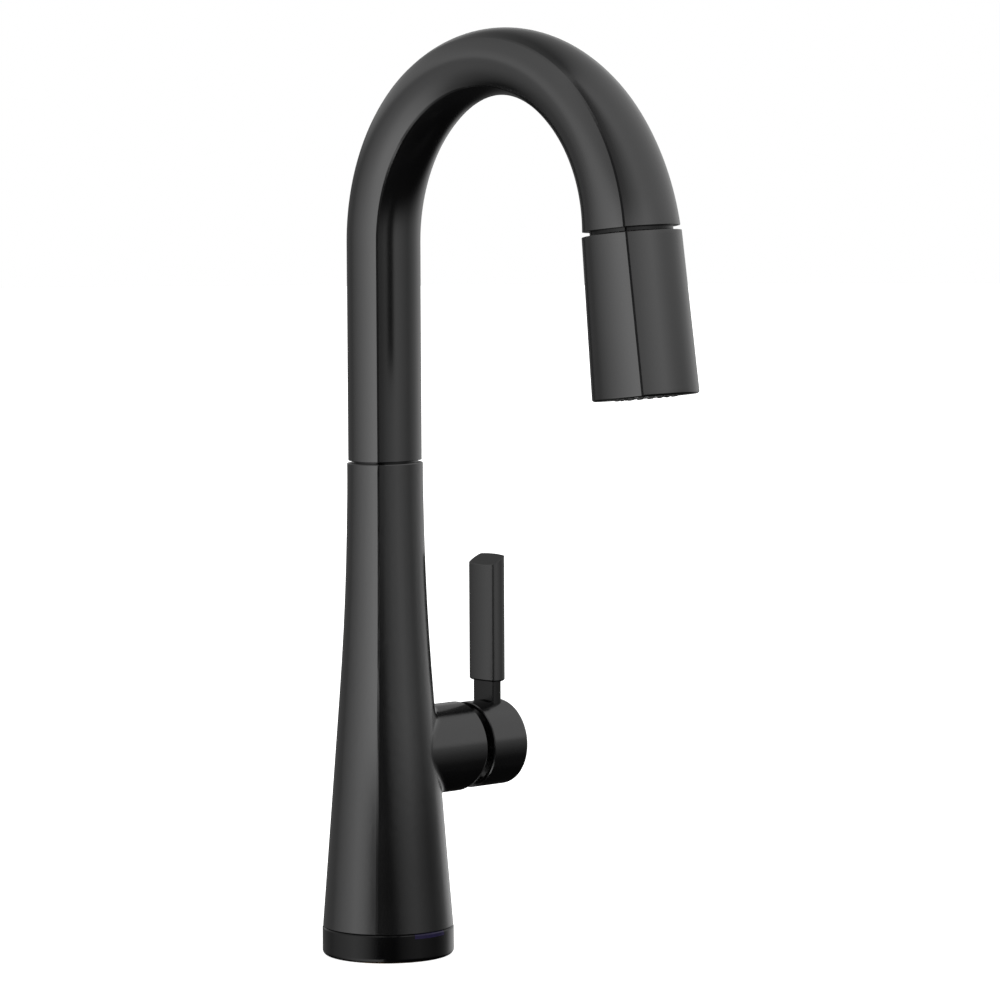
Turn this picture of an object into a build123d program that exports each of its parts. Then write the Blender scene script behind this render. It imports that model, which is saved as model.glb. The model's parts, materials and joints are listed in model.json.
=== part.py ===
from build123d import *
import os
from math import asin, atan2, cos, hypot, pi, radians, sin, sqrt, tan

# A pull-down bar faucet with one hole in the deck. Millimetres, +Z up.
# The origin is the middle of the base on the deck, the spout points to -Y, the handle to +X.

# Fits
seat_fit = 0.05          # between pieces that are pressed or screwed together
running_fit = 0.06       # between pieces that turn or slide on each other
free_gap = 0.4           # between moving pieces that only pass each other
loose_gap = 0.8          # round the hose, which hangs loose
overcut = 1.0            # cutters run this far past the faces that they open
touch = 0.01             # places closer than this are the same place

# Base and deck mounting
base_radius = 27.5
base_height = 11.8
base_edge_round = 2.0
seam_chamfer = 0.5       # shadow line between the base and the body
gasket_inner_radius = 20.0
gasket_width = 4.6
gasket_height = 1.8
deck_thickness = 30.0    # the deck that the nut is drawn up to
shank_radius = 16.6      # one inch pipe thread, for a 35 mm hole
shank_wall = 2.4
shank_drop = 62.0        # below the deck
shank_collar_width = 2.9
shank_collar_height = 3.0
washer_radius = 25.0
washer_height = 2.0
nut_width = 50.0         # across the flats
nut_height = 11.0
nut_gap = 1.0            # between nut and washer, taken up by the screws
clamp_screw_radius = 2.0
clamp_screw_length = 17.0
clamp_screw_count = 2

# Touch indicator in the base
indicator_half_angle = 17.0
indicator_height = 1.9
indicator_depth = 2.2
board_width = 14.0
board_height = 6.2
board_thickness = 1.2
board_inset = 1.7        # from the lens to the board
led_width = 3.2
led_height = 1.6
led_depth = 1.2

# Body
body_height = 206.3
body_foot_radius = 27.3
body_top_half_x = 12.29  # corner of the rim section
body_top_half_y = 9.98
body_top_bulge = 3.73    # how far each side swells past its corners
straight_height = 110.0  # the taper is straight up to here
rounding_power = 1.3     # how fast the corners melt into the round foot
body_section_count = 8
body_wall = 2.2
floor_height = 5.0       # inner floor that the shank hangs from
crease_width = 0.9       # softened strip along each corner
rim_chamfer = 0.35

# Hub on the body for the handle
hub_height = 83.7
hub_radius = 18.8
hub_reach = 39.6
hub_wall = 3.8
hub_fillet = 4.0
relief_depth = 1.0       # bevel under the hub's end that the tilting cap dips past
relief_length = 3.0
relief_half_angle = 80.0

# Handle cap and lever
cap_radius = 18.2
cap_gap = 5.0
cap_length = 19.4
cap_wall = 1.8
cap_cavity_depth = 7.2
cap_edge_round = 2.0
lever_reach = 56.4       # lever's middle from the body's axis
grip_width = 16.7
grip_thickness = 8.3
grip_bulge = 0.7
grip_lift = 26.5         # from the hub's axis up to the grip
grip_height = 49.6
grip_slant = 4.2         # the top rises by this towards the outside
grip_edge_round = 0.3
grip_top_chamfer = 0.1
blade_width = 13.1
blade_thickness = 5.2
blade_bulge = 0.3
blade_socket_depth = 7.7
blade_grip_depth = 30.0
blade_pocket_depth = 0.7
blade_pocket_margin = 1.6
set_screw_radius = 2.0
set_screw_length = 11.0
set_screw_socket_radius = 1.1
set_screw_socket_depth = 3.6

# Valve block and water tubes
tube_radius = 4.0
tube_bore_radius = 3.0
tube_circle = 9.8        # distance of the tubes from the body's axis
inlet_angle = 55.0       # hot and cold on each side of the handle's direction
tube_drop = 76.0         # below the deck
spigot_radius = 3.8      # slimmer lower end that takes a connector
spigot_length = 12.0
tube_insert = 8.0        # into the valve block
block_back = 1.8         # from the body's axis
block_length = 31.2
port_radius = 2.0
port_spread = 6.0        # of the hot and cold ports
port_drop = 1.0          # below the tubes' upper ends

# Cartridge
cartridge_seat = 15.5    # from the body's axis
cartridge_radius = 12.5
cartridge_wall = 2.0
cartridge_seal_height = 1.0
fixed_disc_height = 2.5
moving_disc_radius = 7.6
moving_disc_height = 3.3
moving_disc_floor = 0.6  # under the ball's socket
stem_pivot = 28.0        # tilt axis, from the body's axis
stem_width = 7.0
stem_height = 6.0
stem_ball_radius = 1.6
stem_ball_reach = 5.4    # from the tilt axis
stem_neck_radius = 0.9
stem_cap_depth = 8.0
carrier_length = 8.0
carrier_slot_height = 11.0
pivot_pin_radius = 1.25
pivot_pin_length = 18.0
bonnet_length = 5.2
bonnet_bore_radius = 9.8
dome_wall = 1.5
dome_opening_radius = 10.4

# Spout
joint_gap = 0.9          # between body and spout
riser_half_x = 11.9
riser_half_y = 9.64
riser_bulge = 3.64
spout_end_half_x = 15.22
spout_end_half_y = 12.11
spout_end_bulge = 4.76
flare_power = 4.0        # the arch widens late
arch_radius = 74.7
arch_height = 297.5      # of the arch's centre
arch_sweep = 173.0
arch_sections = 13
spout_wall = 1.88

# Swivel between body and spout
swivel_radius = 9.6
swivel_bore_radius = 7.2
swivel_depth = 36.0      # below the body's rim
swivel_insert = 18.0     # up into the spout
bushing_length = 30.0
glide_inset = 1.6
o_ring_section = 1.6
o_ring_depths = (8.0, 20.0)
clip_height = 1.4
clip_width = 2.2
clip_opening = 60.0

# Spray hose
hose_radius = 4.5
hose_bore_radius = 3.0
hose_drop = 88.0         # below the deck
coupling_radius = 5.2
coupling_length = 18.0
coupling_overlap = 9.0

# Dock between spout and wand
dock_gap = 1.83
dock_half_x = 12.9
dock_half_y = 10.4
dock_bulge = 3.8
dock_depth = 9.0
dock_bore_radius = 10.3
collar_drop = 1.4        # collar shows below the spout
magnet_width = 2.0
magnet_height = 4.0
magnet_wall = 0.6        # collar wall inside the magnet
keeper_height = 1.2

# Wand
wand_length = 64.7
wand_top_half_x = 15.07
wand_top_half_y = 12.81
wand_bottom_half_x = 15.50
wand_bottom_half_y = 14.57
wand_bulge = 4.7
wand_wall = 2.9
wand_roof = 3.2
nose_height = 6.0        # above the spout's end
core_length = 49.0
core_bore_radius = 5.6
chamber_radius = 8.0
chamber_length = 22.0
connector_height = 3.0   # above the spout's end
connector_length = 19.0
check_valve_length = 13.0
check_disc_lift = 4.3    # above the check valve's foot
check_disc_height = 2.2
face_height = 3.7
face_inset = 0.3
membrane_height = 1.5
nozzle_radius = 0.95
nozzle_tip_radius = 0.7
nozzle_drop = 0.45       # below the wand's rim
nozzle_ring_counts = (12, 18)
nozzle_ring_radii = (8.0, 11.7)
aerator_radius = 5.6
aerator_wall = 1.0
aerator_height = 10.0
aerator_hole_radius = 0.6
aerator_hole_circle = 3.0
aerator_holes = 8

# Spray toggle on the wand's back
toggle_drop = 40.0       # of its pivot below the spout's end
toggle_width = 12.0
toggle_length = 25.0
toggle_proud = 0.8
toggle_pivot_depth = 3.35
toggle_back = 1.8        # plate behind the pivot
toggle_angle = 7.0       # each way
toggle_pin_radius = 1.0
toggle_pin_overhang = 1.6
toggle_arm_width = 5.0
toggle_arm_height = 2.0
toggle_tip_radius = 1.4
spool_length = 11.0
spool_groove_radius = 5.2
spool_bore_radius = 3.0

STAND = (Align.CENTER, Align.CENTER, Align.MIN)      # up from its place
BACKWARD = (Align.CENTER, Align.MIN, Align.CENTER)   # towards +Y from its place

# Sizes that follow from those above
shank_bore_radius = shank_radius - shank_wall
body_bore_radius = body_top_half_y + body_top_bulge - body_wall
spout_bore_radius = riser_half_y + riser_bulge - spout_wall
riser_foot = body_height + joint_gap
floor_top = base_height + floor_height
hub_bore_radius = hub_radius - hub_wall
cap_start = hub_reach + cap_gap
cap_end = cap_start + cap_length
cap_floor = cap_start + cap_cavity_depth
cap_bore_radius = cap_radius - cap_wall
block_radius = hub_bore_radius - seat_fit
block_end = block_back + block_length
housing_start = cartridge_seat + cartridge_seal_height
carrier_start = stem_pivot - carrier_length / 2
carrier_end = stem_pivot + carrier_length / 2
moving_disc_top = carrier_start - free_gap
moving_disc_start = moving_disc_top - moving_disc_height
fixed_disc_start = moving_disc_start - running_fit - fixed_disc_height
rotor_radius = cartridge_radius - cartridge_wall - running_fit
bonnet_start = block_end + seat_fit
bonnet_end = bonnet_start + bonnet_length
grip_foot = hub_height + grip_lift
wand_bore_radius = wand_top_half_y + wand_bulge - wand_wall
core_radius = wand_bore_radius - seat_fit
nose_radius = dock_bore_radius - free_gap
core_top = -dock_gap - wand_roof
core_foot = core_top - core_length
wand_foot = -dock_gap - wand_length
hose_channel_radius = hose_radius + loose_gap
toggle_share = (toggle_drop - dock_gap) / wand_length
toggle_half_y = wand_top_half_y + toggle_share * (wand_bottom_half_y - wand_top_half_y)
toggle_pivot = toggle_half_y + wand_bulge - toggle_pivot_depth
spool_tip = spool_groove_radius + free_gap + toggle_tip_radius

# Frames: along the hub, and along the wand with its zero at the spout's end
end_angle = radians(arch_sweep)
spout_end = Vector(0, arch_radius * (cos(end_angle) - 1), arch_height + arch_radius * sin(end_angle))
flow = Vector(0, -sin(end_angle), cos(end_angle))
HUB = Plane(origin=(0, 0, hub_height), x_dir=(0, 1, 0), z_dir=(1, 0, 0))
WAND = Plane(origin=spout_end, x_dir=(1, 0, 0), z_dir=flow * -1)
ARCH_AXIS = Axis((0, -arch_radius, arch_height), (1, 0, 0))


def rod(radius, low, high):
    """Round bar along +Z."""
    return Pos(0, 0, low) * Cylinder(radius, high - low, align=STAND)


def ring(outer, inner, low, high):
    """Round tube along +Z."""
    return rod(outer, low, high) - rod(inner, low, high)


def block(size_x, size_y, low, high):
    """Rectangular bar along +Z."""
    return Pos(0, 0, low) * Box(size_x, size_y, high - low, align=STAND)


def turned(*points):
    """Solid turned about +Z from (radius, height) points."""
    profile = make_face(Polyline([(radius, 0, height) for radius, height in points], close=True))
    return revolve(profile, Axis.Z)


def outline(half_x, half_y, bulge_x, bulge_y):
    """Face with four swelling sides that meet at softened corners."""
    radius_x = (half_y ** 2 + bulge_x ** 2) / (2 * bulge_x)
    radius_y = (half_x ** 2 + bulge_y ** 2) / (2 * bulge_y)
    angle_x = asin(half_y / radius_x) - crease_width / (2 * radius_x)
    angle_y = asin(half_x / radius_y) - crease_width / (2 * radius_y)
    side = Vector(half_x + bulge_x - radius_x * (1 - cos(angle_x)), radius_x * sin(angle_x))
    top = Vector(radius_y * sin(angle_y), half_y + bulge_y - radius_y * (1 - cos(angle_y)))
    chord = top - side
    outward = Vector(chord.Y, -chord.X).normalized()
    rise = chord.length / 2 * tan((pi / 2 - angle_x - angle_y) / 4)
    corner = (side + top) * 0.5 + outward * rise
    half = [
        (side.X, -side.Y),
        (half_x + bulge_x, 0),
        (side.X, side.Y),
        (corner.X, corner.Y),
        (top.X, top.Y),
        (0, half_y + bulge_y),
        (-top.X, top.Y),
        (-corner.X, corner.Y),
    ]
    points = half + [(-x, -y) for x, y in half]
    points.append(points[0])
    return Face(Wire([ThreePointArc(*points[i:i + 3]) for i in range(0, 16, 2)]))


def body_section_sizes(height):
    """Half sizes and bulges of the body's section at a height."""
    top_radius = hypot(body_top_half_x, body_top_half_y)
    corner_angle = atan2(body_top_half_y, body_top_half_x)
    curve = body_height - straight_height
    slope = (body_foot_radius - top_radius) / (curve / 2 + straight_height - base_height)
    below = body_height - height
    if height > straight_height:
        radius = top_radius + slope * below ** 2 / (2 * curve)
    else:
        radius = top_radius + slope * (below - curve / 2)
    roundness = (below / (body_height - base_height)) ** rounding_power
    flat = (1 - roundness) * body_top_bulge / top_radius
    return (
        radius * cos(corner_angle),
        radius * sin(corner_angle),
        radius * (flat + roundness * (1 - cos(corner_angle))),
        radius * (flat + roundness * (1 - sin(corner_angle))),
    )


def even_steps(low, high, steps):
    return [low + (high - low) * i / steps for i in range(steps + 1)]


def make_body_shell():
    """Tapered casting with the hub, hollow, with an inner floor at its foot."""
    sections = []
    for height in even_steps(base_height, body_height, body_section_count):
        sections.append(Plane.XY.offset(height) * outline(*body_section_sizes(height)))
    shell = loft(sections) + HUB * rod(hub_radius, 0, hub_reach)
    joint = []
    for edge in shell.edges():
        on_hub = all(abs(hypot(p.Y, p.Z - hub_height) - hub_radius) < touch for p in (edge @ 0.2, edge @ 0.7))
        if on_hub and edge.geom_type != GeomType.LINE and (edge @ 0.5).X < hub_reach - touch:
            joint.append(edge)
    shell = fillet(joint, hub_fillet)
    shell -= HUB * hub_relief()
    shell -= body_cavity()
    shell -= rod(shank_radius + seat_fit, base_height - overcut, floor_top + overcut)
    shell -= rod(body_bore_radius, body_height - swivel_depth, body_height + overcut)
    shell -= HUB * rod(hub_bore_radius, 0, hub_reach + overcut)
    rims = shell.faces().filter_by(Plane.XY)
    shell = chamfer(rims.sort_by(Axis.Z)[-1].outer_wire().edges(), rim_chamfer)
    foot = shell.faces().filter_by(Plane.XY).sort_by(Axis.Z)[0]
    return chamfer(foot.outer_wire().edges(), seam_chamfer)


def hub_relief():
    """Crescent bevel under the hub's end, deepest at the bottom."""
    lift = relief_depth / (1 - cos(radians(relief_half_angle)))
    end_radius = hub_radius - relief_depth + lift
    start_radius = end_radius + relief_depth
    kept = Cone(start_radius, end_radius, relief_length, align=STAND)
    cutter = Cylinder(2 * hub_radius, relief_length, align=STAND) - Pos(0, lift, 0) * kept
    return Pos(0, 0, hub_reach - relief_length) * cutter


def body_cavity():
    """Round inside of the body, a wall's thickness within the narrow sides."""
    points = [(0, floor_top)]
    for height in even_steps(floor_top, body_height - swivel_depth, body_section_count):
        half_x, half_y, bulge_x, bulge_y = body_section_sizes(height)
        points.append((half_y + bulge_y - body_wall, height))
    points.append((0, body_height - swivel_depth))
    return turned(*points)


def make_base_ring():
    """Plastic base under the body, with room for the gasket, the lens and the board."""
    base = ring(base_radius, shank_radius + free_gap, 0, base_height)
    outer = [e for e in base.edges().filter_by(GeomType.CIRCLE) if abs(e.radius - base_radius) < touch]
    base = fillet([e for e in outer if e.center().Z < touch], base_edge_round)
    outer = [e for e in base.edges().filter_by(GeomType.CIRCLE) if abs(e.radius - base_radius) < touch]
    base = chamfer([e for e in outer if e.center().Z > base_height - touch], seam_chamfer)
    groove_outer = gasket_inner_radius + gasket_width + seat_fit
    base -= ring(groove_outer, gasket_inner_radius - seat_fit, -overcut, gasket_height + seat_fit)
    base -= lens_sector(seat_fit)
    pocket_depth = board_inset + board_thickness + seat_fit
    pocket = block(board_width + 2 * seat_fit, pocket_depth, board_foot(), base_height + overcut)
    return base - Pos(0, -lens_inner_radius() + pocket_depth / 2, 0) * pocket


def lens_inner_radius():
    return base_radius - indicator_depth


def board_foot():
    return base_height - board_height - seat_fit


def lens_sector(grow):
    """Curved bar at the front of the base's upper edge."""
    low = base_height - indicator_height - grow
    past = overcut if grow else 0
    bar = ring(base_radius + past, lens_inner_radius() - grow, low, base_height + past)
    half = radians(indicator_half_angle) + grow / base_radius
    reach = 2 * base_radius
    wedge = make_face(Polyline(
        [(0, 0), (-reach * tan(half), -reach), (reach * tan(half), -reach)], close=True))
    return bar & Pos(0, 0, low) * extrude(wedge, amount=2 * indicator_height)


def make_indicator_lens():
    lens = lens_sector(0)
    edge = [e for e in lens.edges().filter_by(GeomType.CIRCLE) if e.center().Z > base_height - touch]
    outer = max(edge, key=lambda e: e.radius)
    return chamfer(outer, seam_chamfer)


def make_indicator_board():
    """Upright circuit board behind the lens."""
    board = block(board_width, board_thickness, board_foot(), base_height - seat_fit)
    return Pos(0, -lens_inner_radius() + board_inset + board_thickness / 2, 0) * board


def make_indicator_led():
    middle = base_height - indicator_height / 2
    led = block(led_width, led_depth, middle - led_height / 2, middle + led_height / 2)
    return Pos(0, -lens_inner_radius() + board_inset - led_depth / 2, 0) * led


def make_base_gasket():
    return ring(gasket_inner_radius + gasket_width, gasket_inner_radius, 0, gasket_height)


def make_mounting_shank():
    """Threaded tube that hangs from the body's floor and passes through the deck."""
    tube = rod(shank_radius, -shank_drop, floor_top + seat_fit)
    collar = rod(shank_radius + shank_collar_width, floor_top, floor_top + shank_collar_height)
    return tube + collar - rod(shank_bore_radius, -shank_drop - overcut,
                               floor_top + shank_collar_height + overcut)


def washer_foot():
    return -deck_thickness - washer_height


def make_mounting_washer():
    return ring(washer_radius, shank_radius + free_gap, washer_foot(), -deck_thickness)


def clamp_screw_places():
    circle = (shank_radius + nut_width / 2) / 2
    step = 360 / clamp_screw_count
    return [Rot(0, 0, step * i) * Pos(circle, 0, 0) for i in range(clamp_screw_count)]


def make_mounting_nut():
    """Hexagon nut on the shank, with holes for the clamp screws."""
    top = washer_foot() - nut_gap
    hexagon = RegularPolygon(nut_width / 2, 6, major_radius=False)
    nut = Pos(0, 0, top - nut_height) * extrude(hexagon, amount=nut_height)
    nut -= rod(shank_radius + seat_fit, top - nut_height - overcut, top + overcut)
    for place in clamp_screw_places():
        nut -= place * rod(clamp_screw_radius + seat_fit, top - nut_height - overcut, top + overcut)
    return nut


def make_clamp_screws():
    """Screws through the nut that press on the washer, with a slot in each end."""
    foot = washer_foot() - clamp_screw_length
    slot = block(clamp_screw_radius / 2, 3 * clamp_screw_radius, foot - overcut,
                 foot + clamp_screw_radius / 2)
    screw = rod(clamp_screw_radius, foot, washer_foot()) - slot
    return Compound(children=[place * screw for place in clamp_screw_places()])


def tube_places():
    """Hot at the back, cold at the front, mixed water towards the handle."""
    turn = radians(inlet_angle)
    return {
        "hot_tube": (tube_circle * cos(turn), tube_circle * sin(turn)),
        "cold_tube": (tube_circle * cos(turn), -tube_circle * sin(turn)),
        "outlet_tube": (tube_circle, 0),
    }


def tube_top(y):
    """A tube ends this high, inside the valve block."""
    return hub_height - sqrt(block_radius ** 2 - y ** 2) + tube_insert


def make_tube(x, y):
    """Water tube from the valve block down past the shank, with a slimmer end for a connector."""
    step = -tube_drop + spigot_length
    tube = rod(tube_radius, step, tube_top(y)) + rod(spigot_radius, -tube_drop, step)
    return Pos(x, y, 0) * (tube - rod(tube_bore_radius, -tube_drop - overcut, tube_top(y) + overcut))


def port_places():
    """Where each tube's port lies across the hub."""
    places = {}
    for name, (x, y) in tube_places().items():
        side = (y > 0) - (y < 0)
        height = tube_top(y) - hub_height - port_radius - port_drop
        places[name] = Pos(side * port_spread, height, 0)
    return places


def ports(low, high):
    """Bars for the three ports, between two distances from the body's axis."""
    return [place * rod(port_radius, low, high) for place in port_places().values()]


def make_valve_block():
    """Brass block in the hub, with the cartridge's seat, the tubes' sockets and the ports."""
    core = HUB * rod(block_radius, block_back, block_end)
    core -= HUB * rod(cartridge_radius + seat_fit, cartridge_seat, block_end + overcut)
    core -= rod(hose_channel_radius, 0, body_height)
    for name, (x, y) in tube_places().items():
        core -= Pos(x, y, 0) * rod(tube_radius + seat_fit, 0, tube_top(y) + seat_fit)
        core -= HUB * port_places()[name] * rod(port_radius, x, cartridge_seat + overcut)
    return core


def make_swivel_bushing():
    """Plastic bearing in the body's top that the spout's stem turns in."""
    return ring(body_bore_radius - seat_fit, swivel_radius + running_fit,
                body_height - bushing_length, body_height)


def make_glide_ring():
    """Washer in the gap between body and spout, set in from the spout's outline."""
    face = outline(riser_half_x - glide_inset, riser_half_y - glide_inset, riser_bulge, riser_bulge)
    washer = Pos(0, 0, body_height) * extrude(face, amount=joint_gap - running_fit)
    return washer - rod(swivel_radius + running_fit, body_height - overcut, riser_foot + overcut)


def make_cartridge_seal():
    """Rubber seal plate with three lips round the ports."""
    plate = rod(cartridge_radius - free_gap, cartridge_seat, housing_start)
    for port in ports(cartridge_seat - overcut, housing_start + overcut):
        plate -= port
    return HUB * plate


def make_cartridge_housing():
    """Cup that holds the discs and the rotor."""
    cup = rod(cartridge_radius, housing_start, block_end)
    bore = cartridge_radius - cartridge_wall
    cup -= rod(bore, fixed_disc_start - seat_fit, block_end + overcut)
    for port in ports(housing_start - overcut, fixed_disc_start + overcut):
        cup -= port
    return HUB * cup


def make_fixed_disc():
    """Ceramic disc with the three ports."""
    disc = rod(rotor_radius, fixed_disc_start, fixed_disc_start + fixed_disc_height)
    for port in ports(housing_start, stem_pivot):
        disc -= port
    return HUB * disc


def make_moving_disc():
    """Ceramic disc that the stem's ball slides over the fixed one."""
    disc = rod(moving_disc_radius, moving_disc_start, moving_disc_top)
    socket = rod(stem_ball_radius + running_fit, moving_disc_start + moving_disc_floor,
                 moving_disc_top + overcut)
    return HUB * (disc - socket)


def make_cartridge_carrier():
    """Rotor that turns with the handle and holds the tilt pin."""
    rotor = rod(rotor_radius, carrier_start, carrier_end)
    slot = block(stem_width + 2 * running_fit, carrier_slot_height, carrier_start - overcut,
                 carrier_end + overcut)
    pin = Pos(0, 0, stem_pivot) * Rot(0, 90, 0) * Cylinder(pivot_pin_radius + seat_fit, 3 * rotor_radius)
    return HUB * (rotor - slot - pin)


def make_pivot_pin():
    return HUB * Pos(0, 0, stem_pivot) * Rot(0, 90, 0) * Cylinder(pivot_pin_radius, pivot_pin_length)


def make_cartridge_stem():
    """Lever of the cartridge, from its ball in the moving disc to the cap."""
    ball_centre = stem_pivot - stem_ball_reach
    neck_end = stem_pivot - stem_height / 2
    bar = block(stem_width, stem_height, neck_end, cap_floor + stem_cap_depth)
    neck = rod(stem_neck_radius, ball_centre, neck_end + overcut)
    ball = Pos(0, 0, ball_centre) * Sphere(stem_ball_radius)
    hole = Pos(0, 0, stem_pivot) * Rot(0, 90, 0) * Cylinder(pivot_pin_radius + running_fit, 2 * stem_width)
    return HUB * (bar + neck + ball - hole)


def make_bonnet_nut():
    """Brass ring nut that holds the cartridge in the hub."""
    return HUB * ring(block_radius, bonnet_bore_radius, bonnet_start, bonnet_end)


def make_hub_dome():
    """Domed trim in the hub's end, round the tilt axis, so that the cap swings clear of it."""
    lip = hub_reach - free_gap
    outer = hypot(lip - stem_pivot, block_radius)
    inner = outer - dome_wall
    ball = Pos(0, 0, stem_pivot) * (Sphere(outer) - Sphere(inner))
    ball &= rod(outer, lip, cap_end)
    collar = ring(block_radius, block_radius - dome_wall, bonnet_end + seat_fit, lip)
    collar += ball
    return HUB * (collar - rod(dome_opening_radius, bonnet_end, cap_end))


def blade_face(grow):
    return outline(
        blade_thickness / 2 - blade_bulge + grow,
        blade_width / 2 - blade_bulge + grow,
        blade_bulge,
        blade_bulge,
    )


def blade(low, high, grow):
    """Flat bar that joins the cap and the grip."""
    return Pos(lever_reach, 0, low) * extrude(blade_face(grow), amount=high - low)


def cap_top():
    return hub_height + cap_radius


def make_handle_cap():
    """Round end of the handle, hollow over the dome, with sockets for the stem and the blade."""
    cap = rod(cap_radius, cap_start, cap_end)
    outer = [e for e in cap.edges().filter_by(GeomType.CIRCLE) if e.center().Z > cap_end - touch]
    cap = fillet(outer, cap_edge_round)
    cap -= rod(cap_bore_radius, cap_start - overcut, cap_floor)
    cap -= block(stem_width + 2 * seat_fit, stem_height + 2 * seat_fit, cap_floor - overcut,
                 cap_floor + stem_cap_depth + seat_fit)
    rims = cap.faces().sort_by(Axis.Z)[0].edges()
    cap = HUB * chamfer(rims, rim_chamfer)
    cap -= blade(cap_top() - blade_socket_depth, cap_top() + overcut, seat_fit)
    pocket = Box(blade_thickness + 2 * blade_pocket_margin, blade_width + 2 * blade_pocket_margin,
                 2 * blade_pocket_depth)
    cap -= Pos(lever_reach, 0, cap_top()) * pocket
    return cap - set_screw_bar(seat_fit, cap_radius + overcut)


def set_screw_bar(grow, reach):
    """Bar from the stem's side out to the back of the cap."""
    start = stem_width / 2 + seat_fit - grow
    bar = Cylinder(set_screw_radius + grow, reach - start, align=STAND)
    return Pos(cap_floor + stem_cap_depth / 2, start, hub_height) * Rot(-90, 0, 0) * bar


def make_set_screw():
    """Grub screw that clamps the cap on the stem, with a hexagon socket."""
    end = stem_width / 2 + seat_fit + set_screw_length
    screw = set_screw_bar(0, end)
    socket = extrude(RegularPolygon(set_screw_socket_radius, 6), amount=set_screw_socket_depth)
    return screw - Pos(cap_floor + stem_cap_depth / 2, end, hub_height) * Rot(90, 0, 0) * socket


def make_lever_blade():
    return blade(cap_top() - blade_socket_depth, grip_foot + blade_grip_depth, 0)


def make_lever_grip():
    """Flat grip with softly swelling faces and a slanted top."""
    face = outline(grip_thickness / 2 - grip_bulge, grip_width / 2 - grip_bulge, grip_bulge, grip_bulge)
    tall = grip_height + 2 * grip_slant
    grip = Pos(lever_reach, 0, grip_foot) * extrude(face, amount=tall)
    middle = grip_foot + grip_height + grip_slant / 2
    past = grip_foot + tall + overcut
    wedge = make_face(Polyline([
        (lever_reach - grip_thickness, 0, middle - grip_slant),
        (lever_reach + grip_thickness, 0, middle + grip_slant),
        (lever_reach + grip_thickness, 0, past),
        (lever_reach - grip_thickness, 0, past),
    ], close=True))
    grip -= extrude(wedge, amount=grip_width, both=True)
    grip = chamfer(grip.faces().sort_by(Axis.Z)[-1].edges(), grip_top_chamfer)
    grip = fillet(grip.faces().sort_by(Axis.Z)[0].edges(), grip_edge_round)
    return grip - blade(grip_foot - overcut, grip_foot + blade_grip_depth + seat_fit, seat_fit)


def arch_plane(angle):
    """Square to the spout's line, at an angle along the arch in degrees."""
    turn = radians(angle)
    place = (0, arch_radius * (cos(turn) - 1), arch_height + arch_radius * sin(turn))
    return Plane(origin=place, x_dir=(1, 0, 0), z_dir=(0, -sin(turn), cos(turn)))


def spout_face(share):
    """Spout's section at a share of the arch, which widens towards its end."""
    flare = share ** flare_power
    bulge = riser_bulge + flare * (spout_end_bulge - riser_bulge)
    return outline(
        riser_half_x + flare * (spout_end_half_x - riser_half_x),
        riser_half_y + flare * (spout_end_half_y - riser_half_y),
        bulge,
        bulge,
    )


def along_spout(radius, low):
    """Round bar up the riser and round the arch."""
    bar = rod(radius, low, arch_height)
    face = Plane.XY.offset(arch_height) * Face(Wire(Edge.make_circle(radius)))
    return bar + revolve(face, ARCH_AXIS, revolution_arc=arch_sweep)


def make_spout_tube():
    """Riser and gooseneck arch, hollow for the hose, with the dock's recess in its end."""
    riser = Pos(0, 0, riser_foot) * extrude(spout_face(0), amount=arch_height - riser_foot)
    shares = [i / (arch_sections - 1) for i in range(arch_sections)]
    arch = loft([arch_plane(arch_sweep * share) * spout_face(share) for share in shares])
    foot = riser.faces().sort_by(Axis.Z)[0]
    riser = chamfer(foot.outer_wire().edges(), rim_chamfer)
    end = min(arch.faces(), key=lambda f: (f.center() - spout_end).length)
    arch = chamfer(end.outer_wire().edges(), rim_chamfer)
    tube = riser + arch - along_spout(spout_bore_radius, riser_foot - overcut)
    return tube - WAND * dock_bar(-overcut, dock_depth, seat_fit)


def dock_bar(low, high, grow):
    face = outline(dock_half_x + grow, dock_half_y + grow, dock_bulge, dock_bulge)
    return Pos(0, 0, low) * extrude(face, amount=high - low)


def make_swivel_stem():
    """Brass stem of the spout, from its socket in the riser down through the bearing."""
    low = body_height - swivel_depth
    stem = rod(swivel_radius, low, riser_foot + seat_fit)
    stem += rod(spout_bore_radius - seat_fit, riser_foot, riser_foot + swivel_insert)
    stem -= rod(swivel_bore_radius, low - overcut, riser_foot + swivel_insert + overcut)
    for depth in o_ring_depths:
        middle = body_height - depth
        stem -= ring(swivel_radius + overcut, swivel_radius - o_ring_section,
                     middle - o_ring_section / 2, middle + o_ring_section / 2)
    return stem - ring(swivel_radius + overcut, clip_groove_radius() - seat_fit, clip_foot(),
                       clip_foot() + clip_height)


def clip_groove_radius():
    return swivel_radius - clip_width / 2


def clip_foot():
    return body_height - bushing_length - free_gap - clip_height


def make_swivel_o_rings():
    """Rubber rings in the stem's grooves, square when squeezed."""
    rings = []
    for depth in o_ring_depths:
        middle = body_height - depth
        half = o_ring_section / 2 - seat_fit
        rings.append(ring(swivel_radius, swivel_radius - o_ring_section + seat_fit,
                          middle - half, middle + half))
    return Compound(children=rings)


def make_retaining_clip():
    """Open ring under the bearing that keeps the spout from lifting."""
    foot = clip_foot() + seat_fit
    height = clip_height - 2 * seat_fit
    clip = ring(clip_groove_radius() + clip_width, clip_groove_radius(), foot, foot + height)
    reach = 2 * swivel_radius
    half = reach * tan(radians(clip_opening / 2))
    gap = make_face(Polyline([(0, 0), (reach, -half), (reach, half)], close=True))
    return clip - Pos(0, 0, foot - overcut) * extrude(gap, amount=height + 2 * overcut)


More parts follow.
